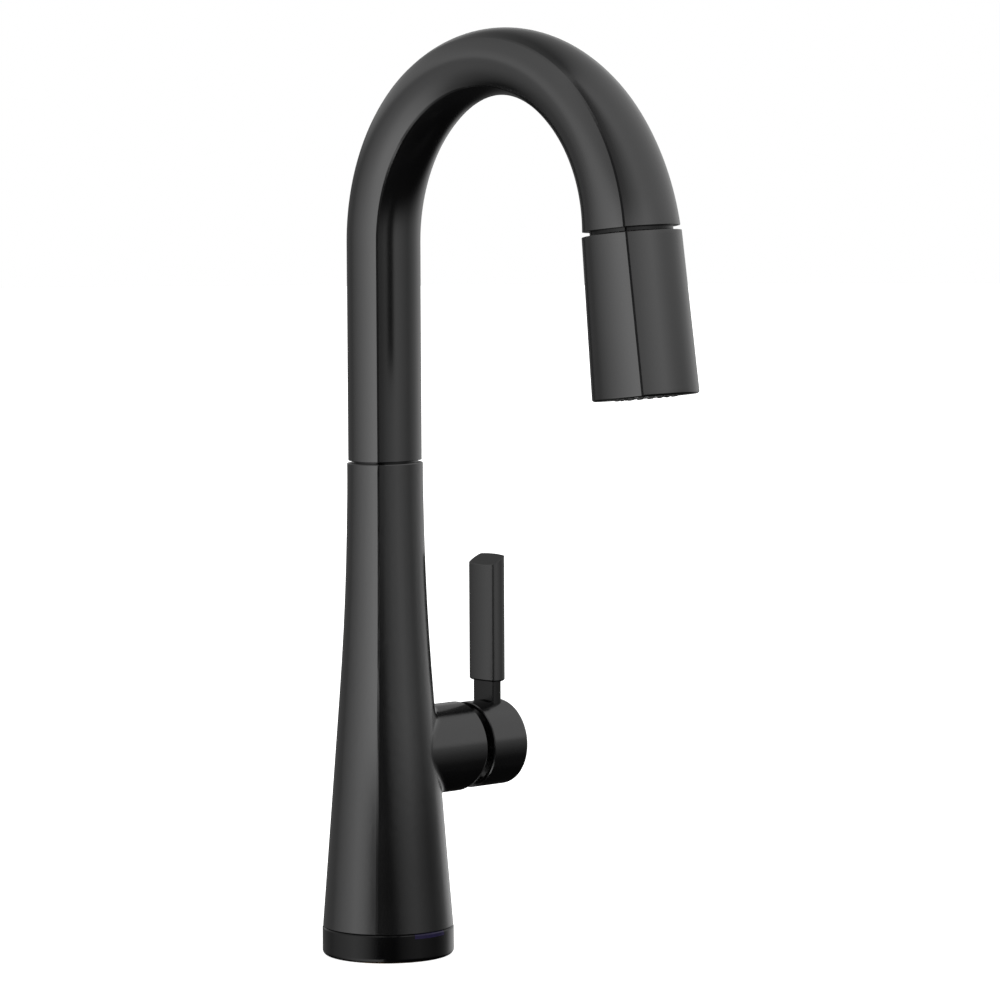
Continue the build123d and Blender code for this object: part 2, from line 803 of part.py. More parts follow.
def make_docking_collar():
    """Plastic collar in the spout's end that takes the wand's nose and holds the magnet."""
    collar = dock_bar(-collar_drop, dock_depth - seat_fit, 0)
    collar -= rod(dock_bore_radius, -collar_drop - overcut, dock_depth + overcut)
    inner = dock_bore_radius + magnet_wall
    collar -= ring(inner + magnet_width + seat_fit, inner - seat_fit, -collar_drop - overcut,
                   magnet_height - collar_drop + seat_fit)
    return WAND * collar


def make_dock_magnet():
    inner = dock_bore_radius + magnet_wall
    return WAND * ring(inner + magnet_width, inner, -collar_drop, magnet_height - collar_drop)


def make_dock_keeper():
    """Steel ring in the wand's roof, under the magnet."""
    inner = dock_bore_radius + magnet_wall
    return WAND * ring(inner + magnet_width, inner, -dock_gap - keeper_height, -dock_gap)


def make_spray_hose():
    """Hose from its coupling under the deck, up the spout and round the arch, to the wand."""
    hose = along_spout(hose_radius, -hose_drop) - along_spout(hose_bore_radius, -hose_drop - overcut)
    trim = WAND * rod(3 * hose_radius, -3 * hose_radius, connector_height + free_gap)
    return hose - trim


def make_hose_coupling():
    """Brass coupling on the hose's lower end, with a thread for the supply below."""
    top = -hose_drop + coupling_overlap
    foot = top - coupling_length
    coupling = rod(coupling_radius, foot, top) - rod(hose_radius + seat_fit, -hose_drop, top + overcut)
    return coupling - rod(hose_bore_radius, foot - overcut, top)


def wand_face(share, grow):
    """Wand's section at a share of its length, from its top."""
    return outline(
        wand_top_half_x + share * (wand_bottom_half_x - wand_top_half_x) + grow,
        wand_top_half_y + share * (wand_bottom_half_y - wand_top_half_y) + grow,
        wand_bulge,
        wand_bulge,
    )


def wand_bar(grow):
    top = Pos(0, 0, -dock_gap) * wand_face(0, grow)
    bottom = Pos(0, 0, wand_foot) * wand_face(1, grow)
    return loft([top, bottom], ruled=True)


def toggle_place(y):
    """On the wand's axis plane, at the toggle's height."""
    return Pos(0, y, -toggle_drop)


def make_wand_shell():
    """Casing of the wand, open below, with the nose's hole above and the toggle's window behind."""
    shell = wand_bar(0)
    ends = shell.faces().filter_by(Plane.XY).sort_by(Axis.Z)
    shell = chamfer(ends[-1].outer_wire().edges() + ends[0].outer_wire().edges(), rim_chamfer)
    shell -= rod(wand_bore_radius, wand_foot - overcut, core_top)
    shell -= rod(nose_radius + seat_fit, core_top - overcut, 0)
    inner = dock_bore_radius + magnet_wall
    shell -= ring(inner + magnet_width + seat_fit, inner - seat_fit, -dock_gap - keeper_height - seat_fit, 0)
    window = Box(toggle_width + 2 * free_gap, 2 * wand_wall + toggle_pivot_depth,
                 toggle_length + 4 * free_gap, align=BACKWARD)
    shell -= toggle_place(core_flat()) * window
    pin = Rot(0, 90, 0) * Cylinder(toggle_pin_radius + seat_fit, toggle_pin_length() + 2 * seat_fit)
    return WAND * (shell - toggle_place(toggle_pivot) * pin)


def toggle_pin_length():
    return toggle_width + 2 * free_gap + 2 * toggle_pin_overhang


def core_flat():
    """The core is flat this far from its axis, behind the rocking plate."""
    dip = toggle_length / 2 * sin(radians(toggle_angle))
    return toggle_pivot - toggle_back - dip - free_gap


def make_wand_core():
    """Plastic waterway of the wand with the nose that docks in the spout."""
    core = rod(core_radius, core_foot, core_top) + rod(nose_radius, core_top - overcut, nose_height)
    core -= rod(core_bore_radius, core_foot - overcut, nose_height + overcut)
    core -= rod(chamber_radius, core_foot - overcut, core_foot + chamber_length)
    flat = Box(3 * core_radius, core_radius, toggle_length + 6 * free_gap,
               align=BACKWARD)
    core -= toggle_place(core_flat()) * flat
    swing = toggle_pivot * sin(radians(toggle_angle))
    slot = Box(toggle_arm_width + 2 * free_gap, core_radius, toggle_arm_height + 2 * swing + 2 * free_gap,
               align=BACKWARD)
    return WAND * (core - toggle_place(0) * slot)


def make_hose_connector():
    """Brass connector screwed into the nose, where the hose ends."""
    top = connector_height
    return WAND * ring(core_bore_radius - seat_fit, hose_bore_radius, top - connector_length, top)


def make_check_valve():
    """Valve cartridge below the connector that stops back flow."""
    top = connector_height - connector_length - seat_fit
    foot = top - check_valve_length
    valve = ring(core_bore_radius - seat_fit, hose_bore_radius, foot, top)
    disc_foot = foot + check_disc_lift
    disc = rod(core_bore_radius - seat_fit, disc_foot, disc_foot + check_disc_height)
    return WAND * (valve + disc)


def make_diverter_spool():
    """Spool that the toggle's arm shifts along the wand."""
    half = spool_length / 2
    groove = toggle_tip_radius + running_fit
    spool = ring(chamber_radius - running_fit, spool_bore_radius, -half, half)
    spool -= ring(chamber_radius + overcut, spool_groove_radius, -groove, groove)
    return WAND * Pos(0, 0, -toggle_drop) * spool


def make_spray_toggle():
    """Rocker on the wand's back with an arm that reaches the spool."""
    plate = Box(toggle_width, toggle_pivot_depth + toggle_back + 2 * toggle_proud, toggle_length,
                align=BACKWARD)
    plate = wand_bar(toggle_proud) & toggle_place(toggle_pivot - toggle_back) * plate
    reach = toggle_pivot - toggle_back - spool_tip
    arm = Box(toggle_arm_width, reach + overcut, toggle_arm_height, align=BACKWARD)
    tip = Rot(0, 90, 0) * Cylinder(toggle_tip_radius, toggle_arm_width)
    toggle = plate + toggle_place(spool_tip) * arm + toggle_place(spool_tip) * tip
    pin = Rot(0, 90, 0) * Cylinder(toggle_pin_radius + running_fit, 2 * toggle_width)
    return WAND * (toggle - toggle_place(toggle_pivot) * pin)


def make_toggle_pin():
    pin = Rot(0, 90, 0) * Cylinder(toggle_pin_radius, toggle_pin_length())
    return WAND * toggle_place(toggle_pivot) * pin


def nozzle_places():
    places = []
    for count, radius in zip(nozzle_ring_counts, nozzle_ring_radii):
        for i in range(count):
            turn = 2 * pi * i / count
            places.append(Pos(radius * cos(turn), radius * sin(turn), 0))
    return places


def face_foot():
    return wand_foot + face_inset


def make_spray_face():
    """Round face in the wand's lower end, with a hole for each nozzle and the aerator."""
    top = face_foot() + face_height
    face = ring(wand_bore_radius - seat_fit, aerator_radius + seat_fit, face_foot(), top)
    for place in nozzle_places():
        face -= place * rod(nozzle_radius + seat_fit, face_foot() - overcut, top + overcut)
    return WAND * face


def make_nozzle_membrane():
    """Rubber plate behind the face with a soft nozzle through each hole."""
    foot = face_foot() + face_height
    plate = ring(wand_bore_radius - free_gap, aerator_radius + seat_fit, foot, foot + membrane_height)
    tip = wand_foot - nozzle_drop
    nub = Cone(nozzle_tip_radius, nozzle_radius, foot + membrane_height / 2 - tip, align=STAND)
    for place in nozzle_places():
        plate += place * Pos(0, 0, tip) * nub
    return WAND * plate


def make_aerator():
    """Stream former in the middle of the face: a cup with a ring of holes."""
    cup = rod(aerator_radius, face_foot(), face_foot() + aerator_height)
    cup -= rod(aerator_radius - aerator_wall, face_foot() + aerator_wall,
               face_foot() + aerator_height + overcut)
    for i in range(aerator_holes):
        hole = Rot(0, 0, 360 * i / aerator_holes) * Pos(aerator_hole_circle, 0, 0)
        cup -= hole * rod(aerator_hole_radius, face_foot() - overcut, face_foot() + 2 * aerator_wall)
    return WAND * cup


def make_parts():
    parts = {
        "base_ring": make_base_ring(),
        "base_gasket": make_base_gasket(),
        "indicator_lens": make_indicator_lens(),
        "indicator_board": make_indicator_board(),
        "indicator_led": make_indicator_led(),
        "mounting_shank": make_mounting_shank(),
        "mounting_washer": make_mounting_washer(),
        "mounting_nut": make_mounting_nut(),
        "clamp_screws": make_clamp_screws(),
        "body_shell": make_body_shell(),
        "valve_block": make_valve_block(),
        "swivel_bushing": make_swivel_bushing(),
        "glide_ring": make_glide_ring(),
        "cartridge_seal": make_cartridge_seal(),
        "cartridge_housing": make_cartridge_housing(),
        "fixed_disc": make_fixed_disc(),
        "moving_disc": make_moving_disc(),
        "cartridge_carrier": make_cartridge_carrier(),
        "pivot_pin": make_pivot_pin(),
        "cartridge_stem": make_cartridge_stem(),
        "bonnet_nut": make_bonnet_nut(),
        "hub_dome": make_hub_dome(),
        "handle_cap": make_handle_cap(),
        "set_screw": make_set_screw(),
        "lever_blade": make_lever_blade(),
        "lever_grip": make_lever_grip(),
        "spout_tube": make_spout_tube(),
        "swivel_stem": make_swivel_stem(),
        "swivel_o_rings": make_swivel_o_rings(),
        "retaining_clip": make_retaining_clip(),
        "docking_collar": make_docking_collar(),
        "dock_magnet": make_dock_magnet(),
        "spray_hose": make_spray_hose(),
        "hose_coupling": make_hose_coupling(),
        "wand_shell": make_wand_shell(),
        "wand_core": make_wand_core(),
        "dock_keeper": make_dock_keeper(),
        "hose_connector": make_hose_connector(),
        "check_valve": make_check_valve(),
        "diverter_spool": make_diverter_spool(),
        "spray_toggle": make_spray_toggle(),
        "toggle_pin": make_toggle_pin(),
        "spray_face": make_spray_face(),
        "nozzle_membrane": make_nozzle_membrane(),
        "aerator": make_aerator(),
    }
    for name, (x, y) in tube_places().items():
        parts[name] = make_tube(x, y)
    return parts


os.makedirs("parts", exist_ok=True)
for name, shape in make_parts().items():
    export_step(shape, f"parts/{name}.step")
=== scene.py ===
import json
from math import asin, atan2, cos, pi, radians, sin, sqrt

import bmesh
import bpy
from mathutils import Matrix, Vector


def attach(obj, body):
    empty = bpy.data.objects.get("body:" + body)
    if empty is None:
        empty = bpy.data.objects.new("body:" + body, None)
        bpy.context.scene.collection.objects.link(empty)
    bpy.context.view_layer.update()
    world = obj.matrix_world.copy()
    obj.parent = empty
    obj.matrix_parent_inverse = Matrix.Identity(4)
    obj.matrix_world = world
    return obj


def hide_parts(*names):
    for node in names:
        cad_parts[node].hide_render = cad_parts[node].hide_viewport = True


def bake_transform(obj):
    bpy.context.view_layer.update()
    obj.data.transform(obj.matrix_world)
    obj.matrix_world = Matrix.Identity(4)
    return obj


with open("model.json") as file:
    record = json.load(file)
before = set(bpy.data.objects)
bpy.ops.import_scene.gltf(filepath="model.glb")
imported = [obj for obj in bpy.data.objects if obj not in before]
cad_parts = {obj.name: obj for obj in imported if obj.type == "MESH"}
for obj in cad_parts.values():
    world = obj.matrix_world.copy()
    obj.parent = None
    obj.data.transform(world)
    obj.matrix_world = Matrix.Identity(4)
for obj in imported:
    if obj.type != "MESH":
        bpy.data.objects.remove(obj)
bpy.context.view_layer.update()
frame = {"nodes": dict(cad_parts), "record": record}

# A pull-down bar faucet in satin black. Metres, +Z up, origin in the middle of the base on the deck.
mm = 0.001

# Sizes of the faucet are in millimetres, and a shell turns them into metres. Steps, rows, rings and sides
# say how finely a piece is drawn.

# A section has four swelling sides, joined by narrow flat strips, the creases
side_steps = 8
creases = [side_steps + i * (2 * side_steps + 1) for i in range(4)]
crease_legs = (0.45, 0.45)

# Edges that are sharper than an angle are rounded, or shaded as sharp
edge_round = 0.3
edge_angle = radians(35.0)
shade_angle = radians(32.0)
touch = 0.01

# Spout, whose section widens along the arch
riser_foot = 207.2
riser_half = (11.9, 9.64)
riser_bulge = 3.64
riser_steps = 22
spout_end_half = (15.22, 12.11)
spout_end_bulge = 4.76
flare_power = 4.0
arch_radius = 74.7
arch_height = 297.5
arch_sweep = radians(173.0)
arch_steps = 90
spout_bore = 11.4
bore_steps = 84

# Dock in the spout's end
dock_half = (12.95, 10.45)
dock_bulge = 3.8
dock_depth = 9.0
dock_gap = 1.83

# Casing of the wand, drawn in rows from its roof down to its foot
wand_length = 64.7
wand_top_half = (15.07, 12.81)
wand_bottom_half = (15.50, 14.57)
wand_bulge = 4.7
wand_bore = 14.61
wand_roof = 3.2
wand_foot_bevel = 0.6
nose_hole = 9.95
keeper_groove = (10.85, 12.95)
keeper_depth = 1.25
roof_rows = 2
upper_rows = 8
window_rows = 10
lower_rows = 5

# Spray toggle in the wand's back
toggle_drop = 40.0
toggle_window = (6.4, 13.3)
toggle_proud = 0.8
rib_reach = 4.2
rib_width = 0.45
rib_height = 0.35
rib_sunk = 0.3
rib_shoulder = (0.6, 0.75)
rib_round = 0.08
rib_steps = 12
rib_count = 4
first_rib = 3.4
rib_spacing = 1.9

# Spray face and its rubber nozzles
face_height = 3.7
face_inset = 0.3
nozzle_drop = 0.45
nozzle_root = 1.3
nozzle_sunk = 0.5
nozzle_shoulder = 0.6
nozzle_neck = 0.95
nozzle_tip = 0.72
nozzle_chamfer = 0.12
nozzle_hole = 0.35
nozzle_hole_depth = 1.2
nozzle_sides = 20
inner_nozzles = 12
inner_nozzle_ring = 8.0
outer_nozzles = 18
outer_nozzle_ring = 11.7
plate_hole = 5.65
plate_radius = 14.21
plate_height = 1.5
plate_round = 0.15

# Grip of the lever
lever_reach = 56.4
grip_foot = 110.2
grip_half = (3.45, 7.65)
grip_bulge = 0.7
grip_legs = (0.38, 0.55)
grip_height = 49.6
grip_slant = 4.2
grip_slope = grip_slant / (2 * (grip_half[0] + grip_bulge))
grip_foot_bevel = 0.7
grip_round = 0.2
grip_edge_angle = radians(60.0)
pocket_half = (2.35, 6.3)
pocket_bulge = 0.3
pocket_depth = 30.05

# Threads: the ridge's radius and the core's depth are shares of the pitch
ridge_share = 0.45
core_share = 0.65
ridge_sides = 3
ridge_turn = pi
thread_steps = 40

# Shank through the deck
shank_radius = 16.6
shank_bore = 14.2
shank_pitch = 2.309
shank_drop = 62.0
shank_taper = (0.6, 0.8)
shank_thread = (1.5 - shank_drop, -1.8)
shank_shoulder = (-0.5, 0.3)
shank_collar = 19.5
shank_collar_foot = 16.8
shank_collar_top = 19.8
shank_round = 0.2
shank_sides = 96

# Clamp screws in the nut
screw_radius = 2.0
screw_pitch = 0.7
screw_length = 17.0
screw_top = -32.0
screw_circle = 20.8
screw_foot_taper = (0.1, 0.25)
slot_half = 0.5
slot_depth = 1.0
slot_cheek_sunk = 0.1
slot_steps = 12
screw_point = 1.2
screw_point_foot = screw_top - 1.2
screw_core_top = screw_top - 1.6
screw_thread_top = screw_top - 1.8
screw_sides = 24

# Hose and its coupling
hose_radius = 4.5
hose_bore = 3.0
hose_drop = 88.0
hose_end = 3.4
hose_sides = 32
hose_riser_steps = 40
hose_arch_steps = 72
strand_count = 12.0
strand_pitch = 2.2
stretch_start = 20.0
stretch_rings = 60
stretch_halvings = 50
wand_travel = 220.0
coupling_radius = 5.2
coupling_pitch = 1.0
coupling_foot = -97.0
coupling_middle = -88.0
coupling_top = -79.0
coupling_taper = (0.4, 0.6)
coupling_shoulder = (coupling_middle - 1.0, coupling_middle - 0.4)
coupling_thread = (coupling_foot + 1.0, coupling_middle - 1.4)
crimp_foot = coupling_middle + 3.0
crimp_top = coupling_middle + 5.0
crimp_slope = 0.4
crimp_depth = 0.35
coupling_chamfer = 0.4
coupling_play = 0.05
coupling_round = 0.08
coupling_sides = 64

arch_end = (0.0, arch_radius * (cos(arch_sweep) - 1), arch_height + arch_radius * sin(arch_sweep))
wand_place = Matrix.Translation(arch_end) @ Matrix.Rotation(arch_sweep - pi, 4, "X")
wand_matrix = Matrix.Translation(Vector(arch_end) * mm) @ Matrix.Rotation(arch_sweep - pi, 4, "X")


class Value:
    """An output in a material's tree. Arithmetic on it adds Math nodes."""

    def __init__(self, tree, socket=None):
        self.tree = tree
        self.socket = socket

    def node(self, kind, settings=None, sockets=None, output=0):
        """Adds a node: first its settings, then the values or links of its sockets."""
        new = self.tree.nodes.new(kind)
        for name, setting in (settings or {}).items():
            if name == "stops":
                set_stops(new.color_ramp, setting)
            else:
                setattr(new, name, setting)
        for key, value in (sockets or {}).items():
            if isinstance(value, Value):
                self.tree.links.new(value.socket, new.inputs[key])
            else:
                new.inputs[key].default_value = value
        return Value(self.tree, new.outputs[output] if new.outputs else None)

    def math(self, operation, first, second):
        """Adds a Math node on two values or numbers."""
        return self.node("ShaderNodeMath", {"operation": operation}, {0: first, 1: second})

    def __add__(self, other):
        return self.math("ADD", self, other)

    def __radd__(self, other):
        return self.math("ADD", other, self)

    def __sub__(self, other):
        return self.math("SUBTRACT", self, other)

    def __rsub__(self, other):
        return self.math("SUBTRACT", other, self)

    def __mul__(self, other):
        return self.math("MULTIPLY", self, other)

    def __rmul__(self, other):
        return self.math("MULTIPLY", other, self)


def set_stops(ramp, stops):
    """Puts (place, colour) stops on a colour ramp."""
    while len(ramp.elements) < len(stops):
        ramp.elements.new(1.0)
    for element, (place, colour) in zip(ramp.elements, stops):
        element.position = place
        element.color = (*colour, 1.0)


def noise(place, scale, detail=2.0, roughness=0.5):
    """Soft random patches, whose number in a metre is the scale."""
    sockets = {"Vector": place, "Scale": scale, "Detail": detail, "Roughness": roughness}
    return place.node("ShaderNodeTexNoise", {}, sockets)


def cells(place, scale):
    """Distance to the nearest of many scattered points."""
    return place.node("ShaderNodeTexVoronoi", {}, {"Vector": place, "Scale": scale})


def stretched(place, scale):
    """Coordinates scaled along each axis, for drawn or turned lines or for a pattern of another size."""
    return place.node("ShaderNodeMapping", {}, {"Vector": place, "Scale": scale})


def shades(mask, *stops):
    """Colours that follow a mask through (place, colour) stops."""
    return mask.node("ShaderNodeValToRGB", {"stops": stops}, {"Fac": mask})


def bump(height, depth, strength=1.0):
    """Normal of a surface that rises with a height, up to a depth in metres."""
    return height.node("ShaderNodeBump", {}, {"Height": height, "Distance": depth, "Strength": strength})


def finish(name, build, **constants):
    """Material with constants on its shader and the varying sockets that build makes from the place."""
    material = bpy.data.materials.new(name)
    material.use_nodes = True
    tree = material.node_tree
    tree.nodes.clear()
    start = Value(tree)
    place = start.node("ShaderNodeTexCoord", output="Object")
    sockets = {key.replace("_", " "): value for key, value in constants.items()}
    sockets.update(build(place))
    shader = start.node("ShaderNodeBsdfPrincipled", {}, sockets, output="BSDF")
    start.node("ShaderNodeOutputMaterial", {}, {"Surface": shader})
    return material


def satin_coat(place):
    """Baked black coat: fine orange peel and a faint cloud in its sheen."""
    peel = noise(place, 900.0, 2.0)
    cloud = noise(place, 35.0, 3.0)
    return {
        "Base Color": shades(cloud, (0.3, (0.0024, 0.0024, 0.0025)), (0.7, (0.0036, 0.0036, 0.0037))),
        "Roughness": 0.17 + 0.05 * cloud + 0.02 * peel,
        "Normal": bump(peel, 0.02 * mm, 0.35),
    }


def moulded_black(place):
    """Black moulded plastic with a fine spark-eroded grain."""
    grain = noise(place, 2600.0, 3.0, 0.6)
    cloud = noise(place, 60.0, 2.0)
    return {
        "Base Color": shades(cloud, (0.3, (0.0012, 0.0012, 0.0013)), (0.7, (0.002, 0.002, 0.0021))),
        "Roughness": 0.12 + 0.05 * cloud + 0.02 * grain,
        "Normal": bump(grain, 0.012 * mm, 0.4),
    }


def violet_window(place):
    """Smoked violet plastic, a shade lighter where it thins."""
    cloud = noise(place, 220.0, 2.0)
    return {
        "Base Color": shades(cloud, (0.3, (0.0075, 0.005, 0.026)), (0.7, (0.011, 0.0075, 0.036))),
        "Roughness": 0.22 + 0.06 * cloud,
    }


def solder_mask(place):
    """Green circuit board with copper tracks under the mask."""
    tracks = place.node(
        "ShaderNodeTexBrick", {},
        {"Vector": place, "Scale": 700.0, "Mortar Size": 0.06}, output="Fac")
    weave = noise(place, 3000.0, 1.0)
    return {
        "Base Color": shades(tracks, (0.2, (0.008, 0.07, 0.03)), (0.8, (0.03, 0.16, 0.07))),
        "Roughness": 0.3 + 0.15 * weave,
        "Normal": bump(tracks, 0.04 * mm, 0.5),
    }


def lamp_case(place):
    """White lamp case with a yellow window of phosphor."""
    cloud = noise(place, 900.0, 2.0)
    return {
        "Base Color": shades(cloud, (0.4, (0.85, 0.83, 0.76)), (0.6, (0.9, 0.72, 0.2))),
        "Roughness": 0.3 + 0.2 * cloud,
    }


def black_rubber(place):
    grain = noise(place, 1800.0, 3.0)
    bloom = noise(place, 90.0, 3.0)
    return {
        "Base Color": shades(bloom, (0.3, (0.012, 0.012, 0.012)), (0.75, (0.022, 0.022, 0.021))),
        "Roughness": 0.55 + 0.2 * bloom,
        "Normal": bump(grain, 0.03 * mm, 0.4),
    }


def turned_brass(place):
    """Turned brass: fine tool lines round the piece, darker where it has dulled."""
    lines = noise(stretched(place, (1.0, 1.0, 40.0)), 60.0, 3.0)
    dull = noise(place, 70.0, 4.0)
    return {
        "Base Color": shades(dull, (0.3, (0.52, 0.34, 0.13)), (0.7, (0.74, 0.52, 0.22))),
        "Roughness": 0.2 + 0.14 * dull + 0.1 * lines,
        "Normal": bump(lines, 0.02 * mm, 0.35),
    }


def drawn_copper(place):
    """Drawn copper tube with lines along it and a brown bloom."""
    lines = noise(stretched(place, (40.0, 40.0, 1.0)), 50.0, 2.0)
    bloom = noise(place, 55.0, 4.0)
    return {
        "Base Color": shades(bloom, (0.3, (0.42, 0.17, 0.09)), (0.72, (0.78, 0.36, 0.22))),
        "Roughness": 0.22 + 0.22 * bloom + 0.05 * lines,
        "Normal": bump(lines, 0.01 * mm, 0.3),
    }


def brushed_steel(place):
    lines = noise(stretched(place, (6.0, 6.0, 60.0)), 80.0, 2.0)
    stain = noise(place, 40.0, 3.0)
    return {
        "Base Color": shades(stain, (0.3, (0.46, 0.46, 0.47)), (0.7, (0.6, 0.6, 0.61))),
        "Roughness": 0.2 + 0.16 * lines,
        "Normal": bump(lines, 0.012 * mm, 0.35),
    }


def lapped_ceramic(place):
    speck = noise(place, 1500.0, 3.0)
    cloud = noise(place, 80.0, 2.0)
    return {
        "Base Color": shades(cloud, (0.3, (0.74, 0.72, 0.66)), (0.7, (0.82, 0.81, 0.77))),
        "Roughness": 0.12 + 0.1 * speck,
    }


def white_acetal(place):
    grain = noise(place, 1400.0, 3.0)
    cloud = noise(place, 70.0, 2.0)
    return {
        "Base Color": shades(cloud, (0.3, (0.68, 0.68, 0.66)), (0.7, (0.76, 0.76, 0.74))),
        "Roughness": 0.38 + 0.12 * grain,
        "Normal": bump(grain, 0.02 * mm, 0.3),
    }


def grey_nylon(place):
    grain = noise(place, 1600.0, 3.0)
    cloud = noise(place, 50.0, 2.0)
    return {
        "Base Color": shades(cloud, (0.3, (0.13, 0.135, 0.14)), (0.7, (0.17, 0.175, 0.18))),
        "Roughness": 0.4 + 0.14 * grain,
        "Normal": bump(grain, 0.02 * mm, 0.3),
    }


def nickel_magnet(place):
    pits = cells(place, 2200.0)
    cloud = noise(place, 90.0, 3.0)
    return {
        "Base Color": shades(cloud, (0.3, (0.2, 0.195, 0.19)), (0.7, (0.3, 0.295, 0.285))),
        "Roughness": 0.25 + 0.15 * cloud,
        "Normal": bump(pits, 0.02 * mm, 0.25),
    }


def nylon_braid(place):
    """Strands that cross over and under, by the hose's own turn and length, grey on their crowns with painted
    shade to black where they dip.
    """
    grain = noise(place, 900.0, 3.0)
    chart = place.node("ShaderNodeUVMap", {"uv_map": "braid"})
    turn, length = (chart.node("ShaderNodeSeparateXYZ", {}, {0: chart}, output=axis) for axis in "XY")
    right = turn * strand_count + length
    left = turn * strand_count - length
    right_rise = right.math("PINGPONG", right, 0.5)
    left_rise = left.math("PINGPONG", left, 0.5)
    crossing = right.math("FLOOR", right, 0.0) + left.math("FLOOR", left, 0.0)
    over = crossing.math("FRACT", crossing * 0.5, 0.0) * 2.0
    rise = over * right_rise + (1.0 - over) * left_rise
    return {
        # Painted shade: each strand darkens to black at its low edges, where it dips under the next
        "Base Color": shades(rise, (0.05, (0.006, 0.006, 0.0065)), (0.35, (0.05, 0.05, 0.053))),
        "Roughness": 0.4 + 0.2 * grain,
        "Normal": bump(rise, 0.25 * mm, 0.8),
    }


finishes = {
    "satin_black": finish("satin_black_coat", satin_coat, Specular_IOR_Level=0.5),
    "black_plastic": finish("moulded_black_plastic", moulded_black, Specular_IOR_Level=0.16),
    "violet_lens": finish("violet_window_plastic", violet_window, Specular_IOR_Level=0.17),
    "circuit_board": finish("green_solder_mask", solder_mask),
    "led": finish("lamp_case_white", lamp_case),
    "rubber": finish("black_rubber_seal", black_rubber),
    "brass": finish("turned_brass", turned_brass, Metallic=1.0),
    "copper": finish("drawn_copper", drawn_copper, Metallic=1.0),
    "steel": finish("brushed_steel", brushed_steel, Metallic=1.0),
    "ceramic": finish("lapped_ceramic", lapped_ceramic),
    "white_plastic": finish("white_acetal", white_acetal, Subsurface_Weight=0.05),
    "grey_plastic": finish("grey_nylon", grey_nylon),
    "magnet": finish("nickel_magnet", nickel_magnet, Metallic=0.85),
    "hose": finish("nylon_braid", nylon_braid),
}

# Pieces whose coat is duller than that of the other pieces in their slot
own_finishes = {
    "lever_blade": finish("dull_black_coat", satin_coat, Specular_IOR_Level=0.2),
}


def dress_nodes():
    """Gives every carried-over solid its own finish, or the finish of its slot."""
    for piece in frame["record"]["subparts"]:
        mesh = frame["nodes"][piece["node"]].data
        mesh.materials.clear()
        mesh.materials.append(own_finishes.get(piece["node"], finishes[piece["material_slot"]]))


dress_nodes()


class Shell:
    """Points and faces of one piece, gathered loop by loop in millimetres in the piece's own place."""

    def __init__(self, place=Matrix()):
        self.place = place
        self.points = []
        self.faces = []
        self.flat = set()

    def loop(self, points):
        """Adds a closed loop of points and gives their numbers."""
        first = len(self.points)
        self.points += [(self.place @ Vector(point)) * mm for point in points]
        return range(first, len(self.points))

    def bridge(self, one, two, skip=(), flat=()):
        """Quads between two closed loops, apart from the columns to skip. Flat columns keep a plain shade."""
        count = len(one)
        for i in range(count):
            if i in skip:
                continue
            if i in flat:
                self.flat.add(len(self.faces))
            self.faces.append((one[i], one[(i + 1) % count], two[(i + 1) % count], two[i]))

    def ring(self, loops):
        """Closed wall through the loops in turn and back to the first."""
        for one, two in zip(loops, loops[1:] + loops[:1]):
            self.bridge(one, two)

    def mesh(self, name, rounding=0.0, sharp=edge_angle):
        """Closed mesh with outward faces, rounded sharp edges and normals that lean to the larger faces."""
        work = bmesh.new()
        made = [work.verts.new(point) for point in self.points]
        flat = work.faces.layers.int.new("flat")
        for i, face in enumerate(self.faces):
            work.faces.new([made[j] for j in face])[flat] = i in self.flat
        bmesh.ops.remove_doubles(work, verts=work.verts, dist=0.001 * mm)
        bmesh.ops.recalc_face_normals(work, faces=work.faces)
        if rounding:
            edges = [e for e in work.edges if e.is_manifold and e.calc_face_angle() > sharp]
            bmesh.ops.bevel(work, geom=edges, offset=rounding * mm, segments=3, profile=0.5,
                            affect="EDGES", clamp_overlap=True)
        mesh = bpy.data.meshes.new(name)
        work.to_mesh(mesh)
        work.free()
        smooth(mesh)
        return mesh


def smooth(mesh):
    """Shades a mesh smoothly but for its flat strips, with normals weighted by the area of the faces."""
    mesh.polygons.foreach_set("use_smooth", [True] * len(mesh.polygons))
    flat = [item.value for item in mesh.attributes["flat"].data]
    mesh.attributes.remove(mesh.attributes["flat"])
    normals = [Vector() for _ in mesh.vertices]
    for face, lone in zip(mesh.polygons, flat):
        for i in face.vertices:
            normals[i] += face.normal * (0.0 if lone else face.area)
    corners = []
    for face, lone in zip(mesh.polygons, flat):
        corners += [face.normal.copy() if lone else normals[i].normalized() for i in face.vertices]
    mesh.normals_split_custom_set(corners)


def place_piece(name, mesh, body, slot, *nodes):
    """Puts a finished mesh on its body, if it rides only one, instead of the nodes that it stands for."""
    piece = bpy.data.objects.new(name, mesh)
    bpy.context.scene.collection.objects.link(piece)
    mesh.materials.clear()
    mesh.materials.append(finishes[slot])
    if body:
        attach(piece, body)
    if nodes:
        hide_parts(*nodes)
    return piece


def steps(low, high, count):
    """Evenly spaced values from low to high, both included."""
    return [low + (high - low) * i / count for i in range(count + 1)]


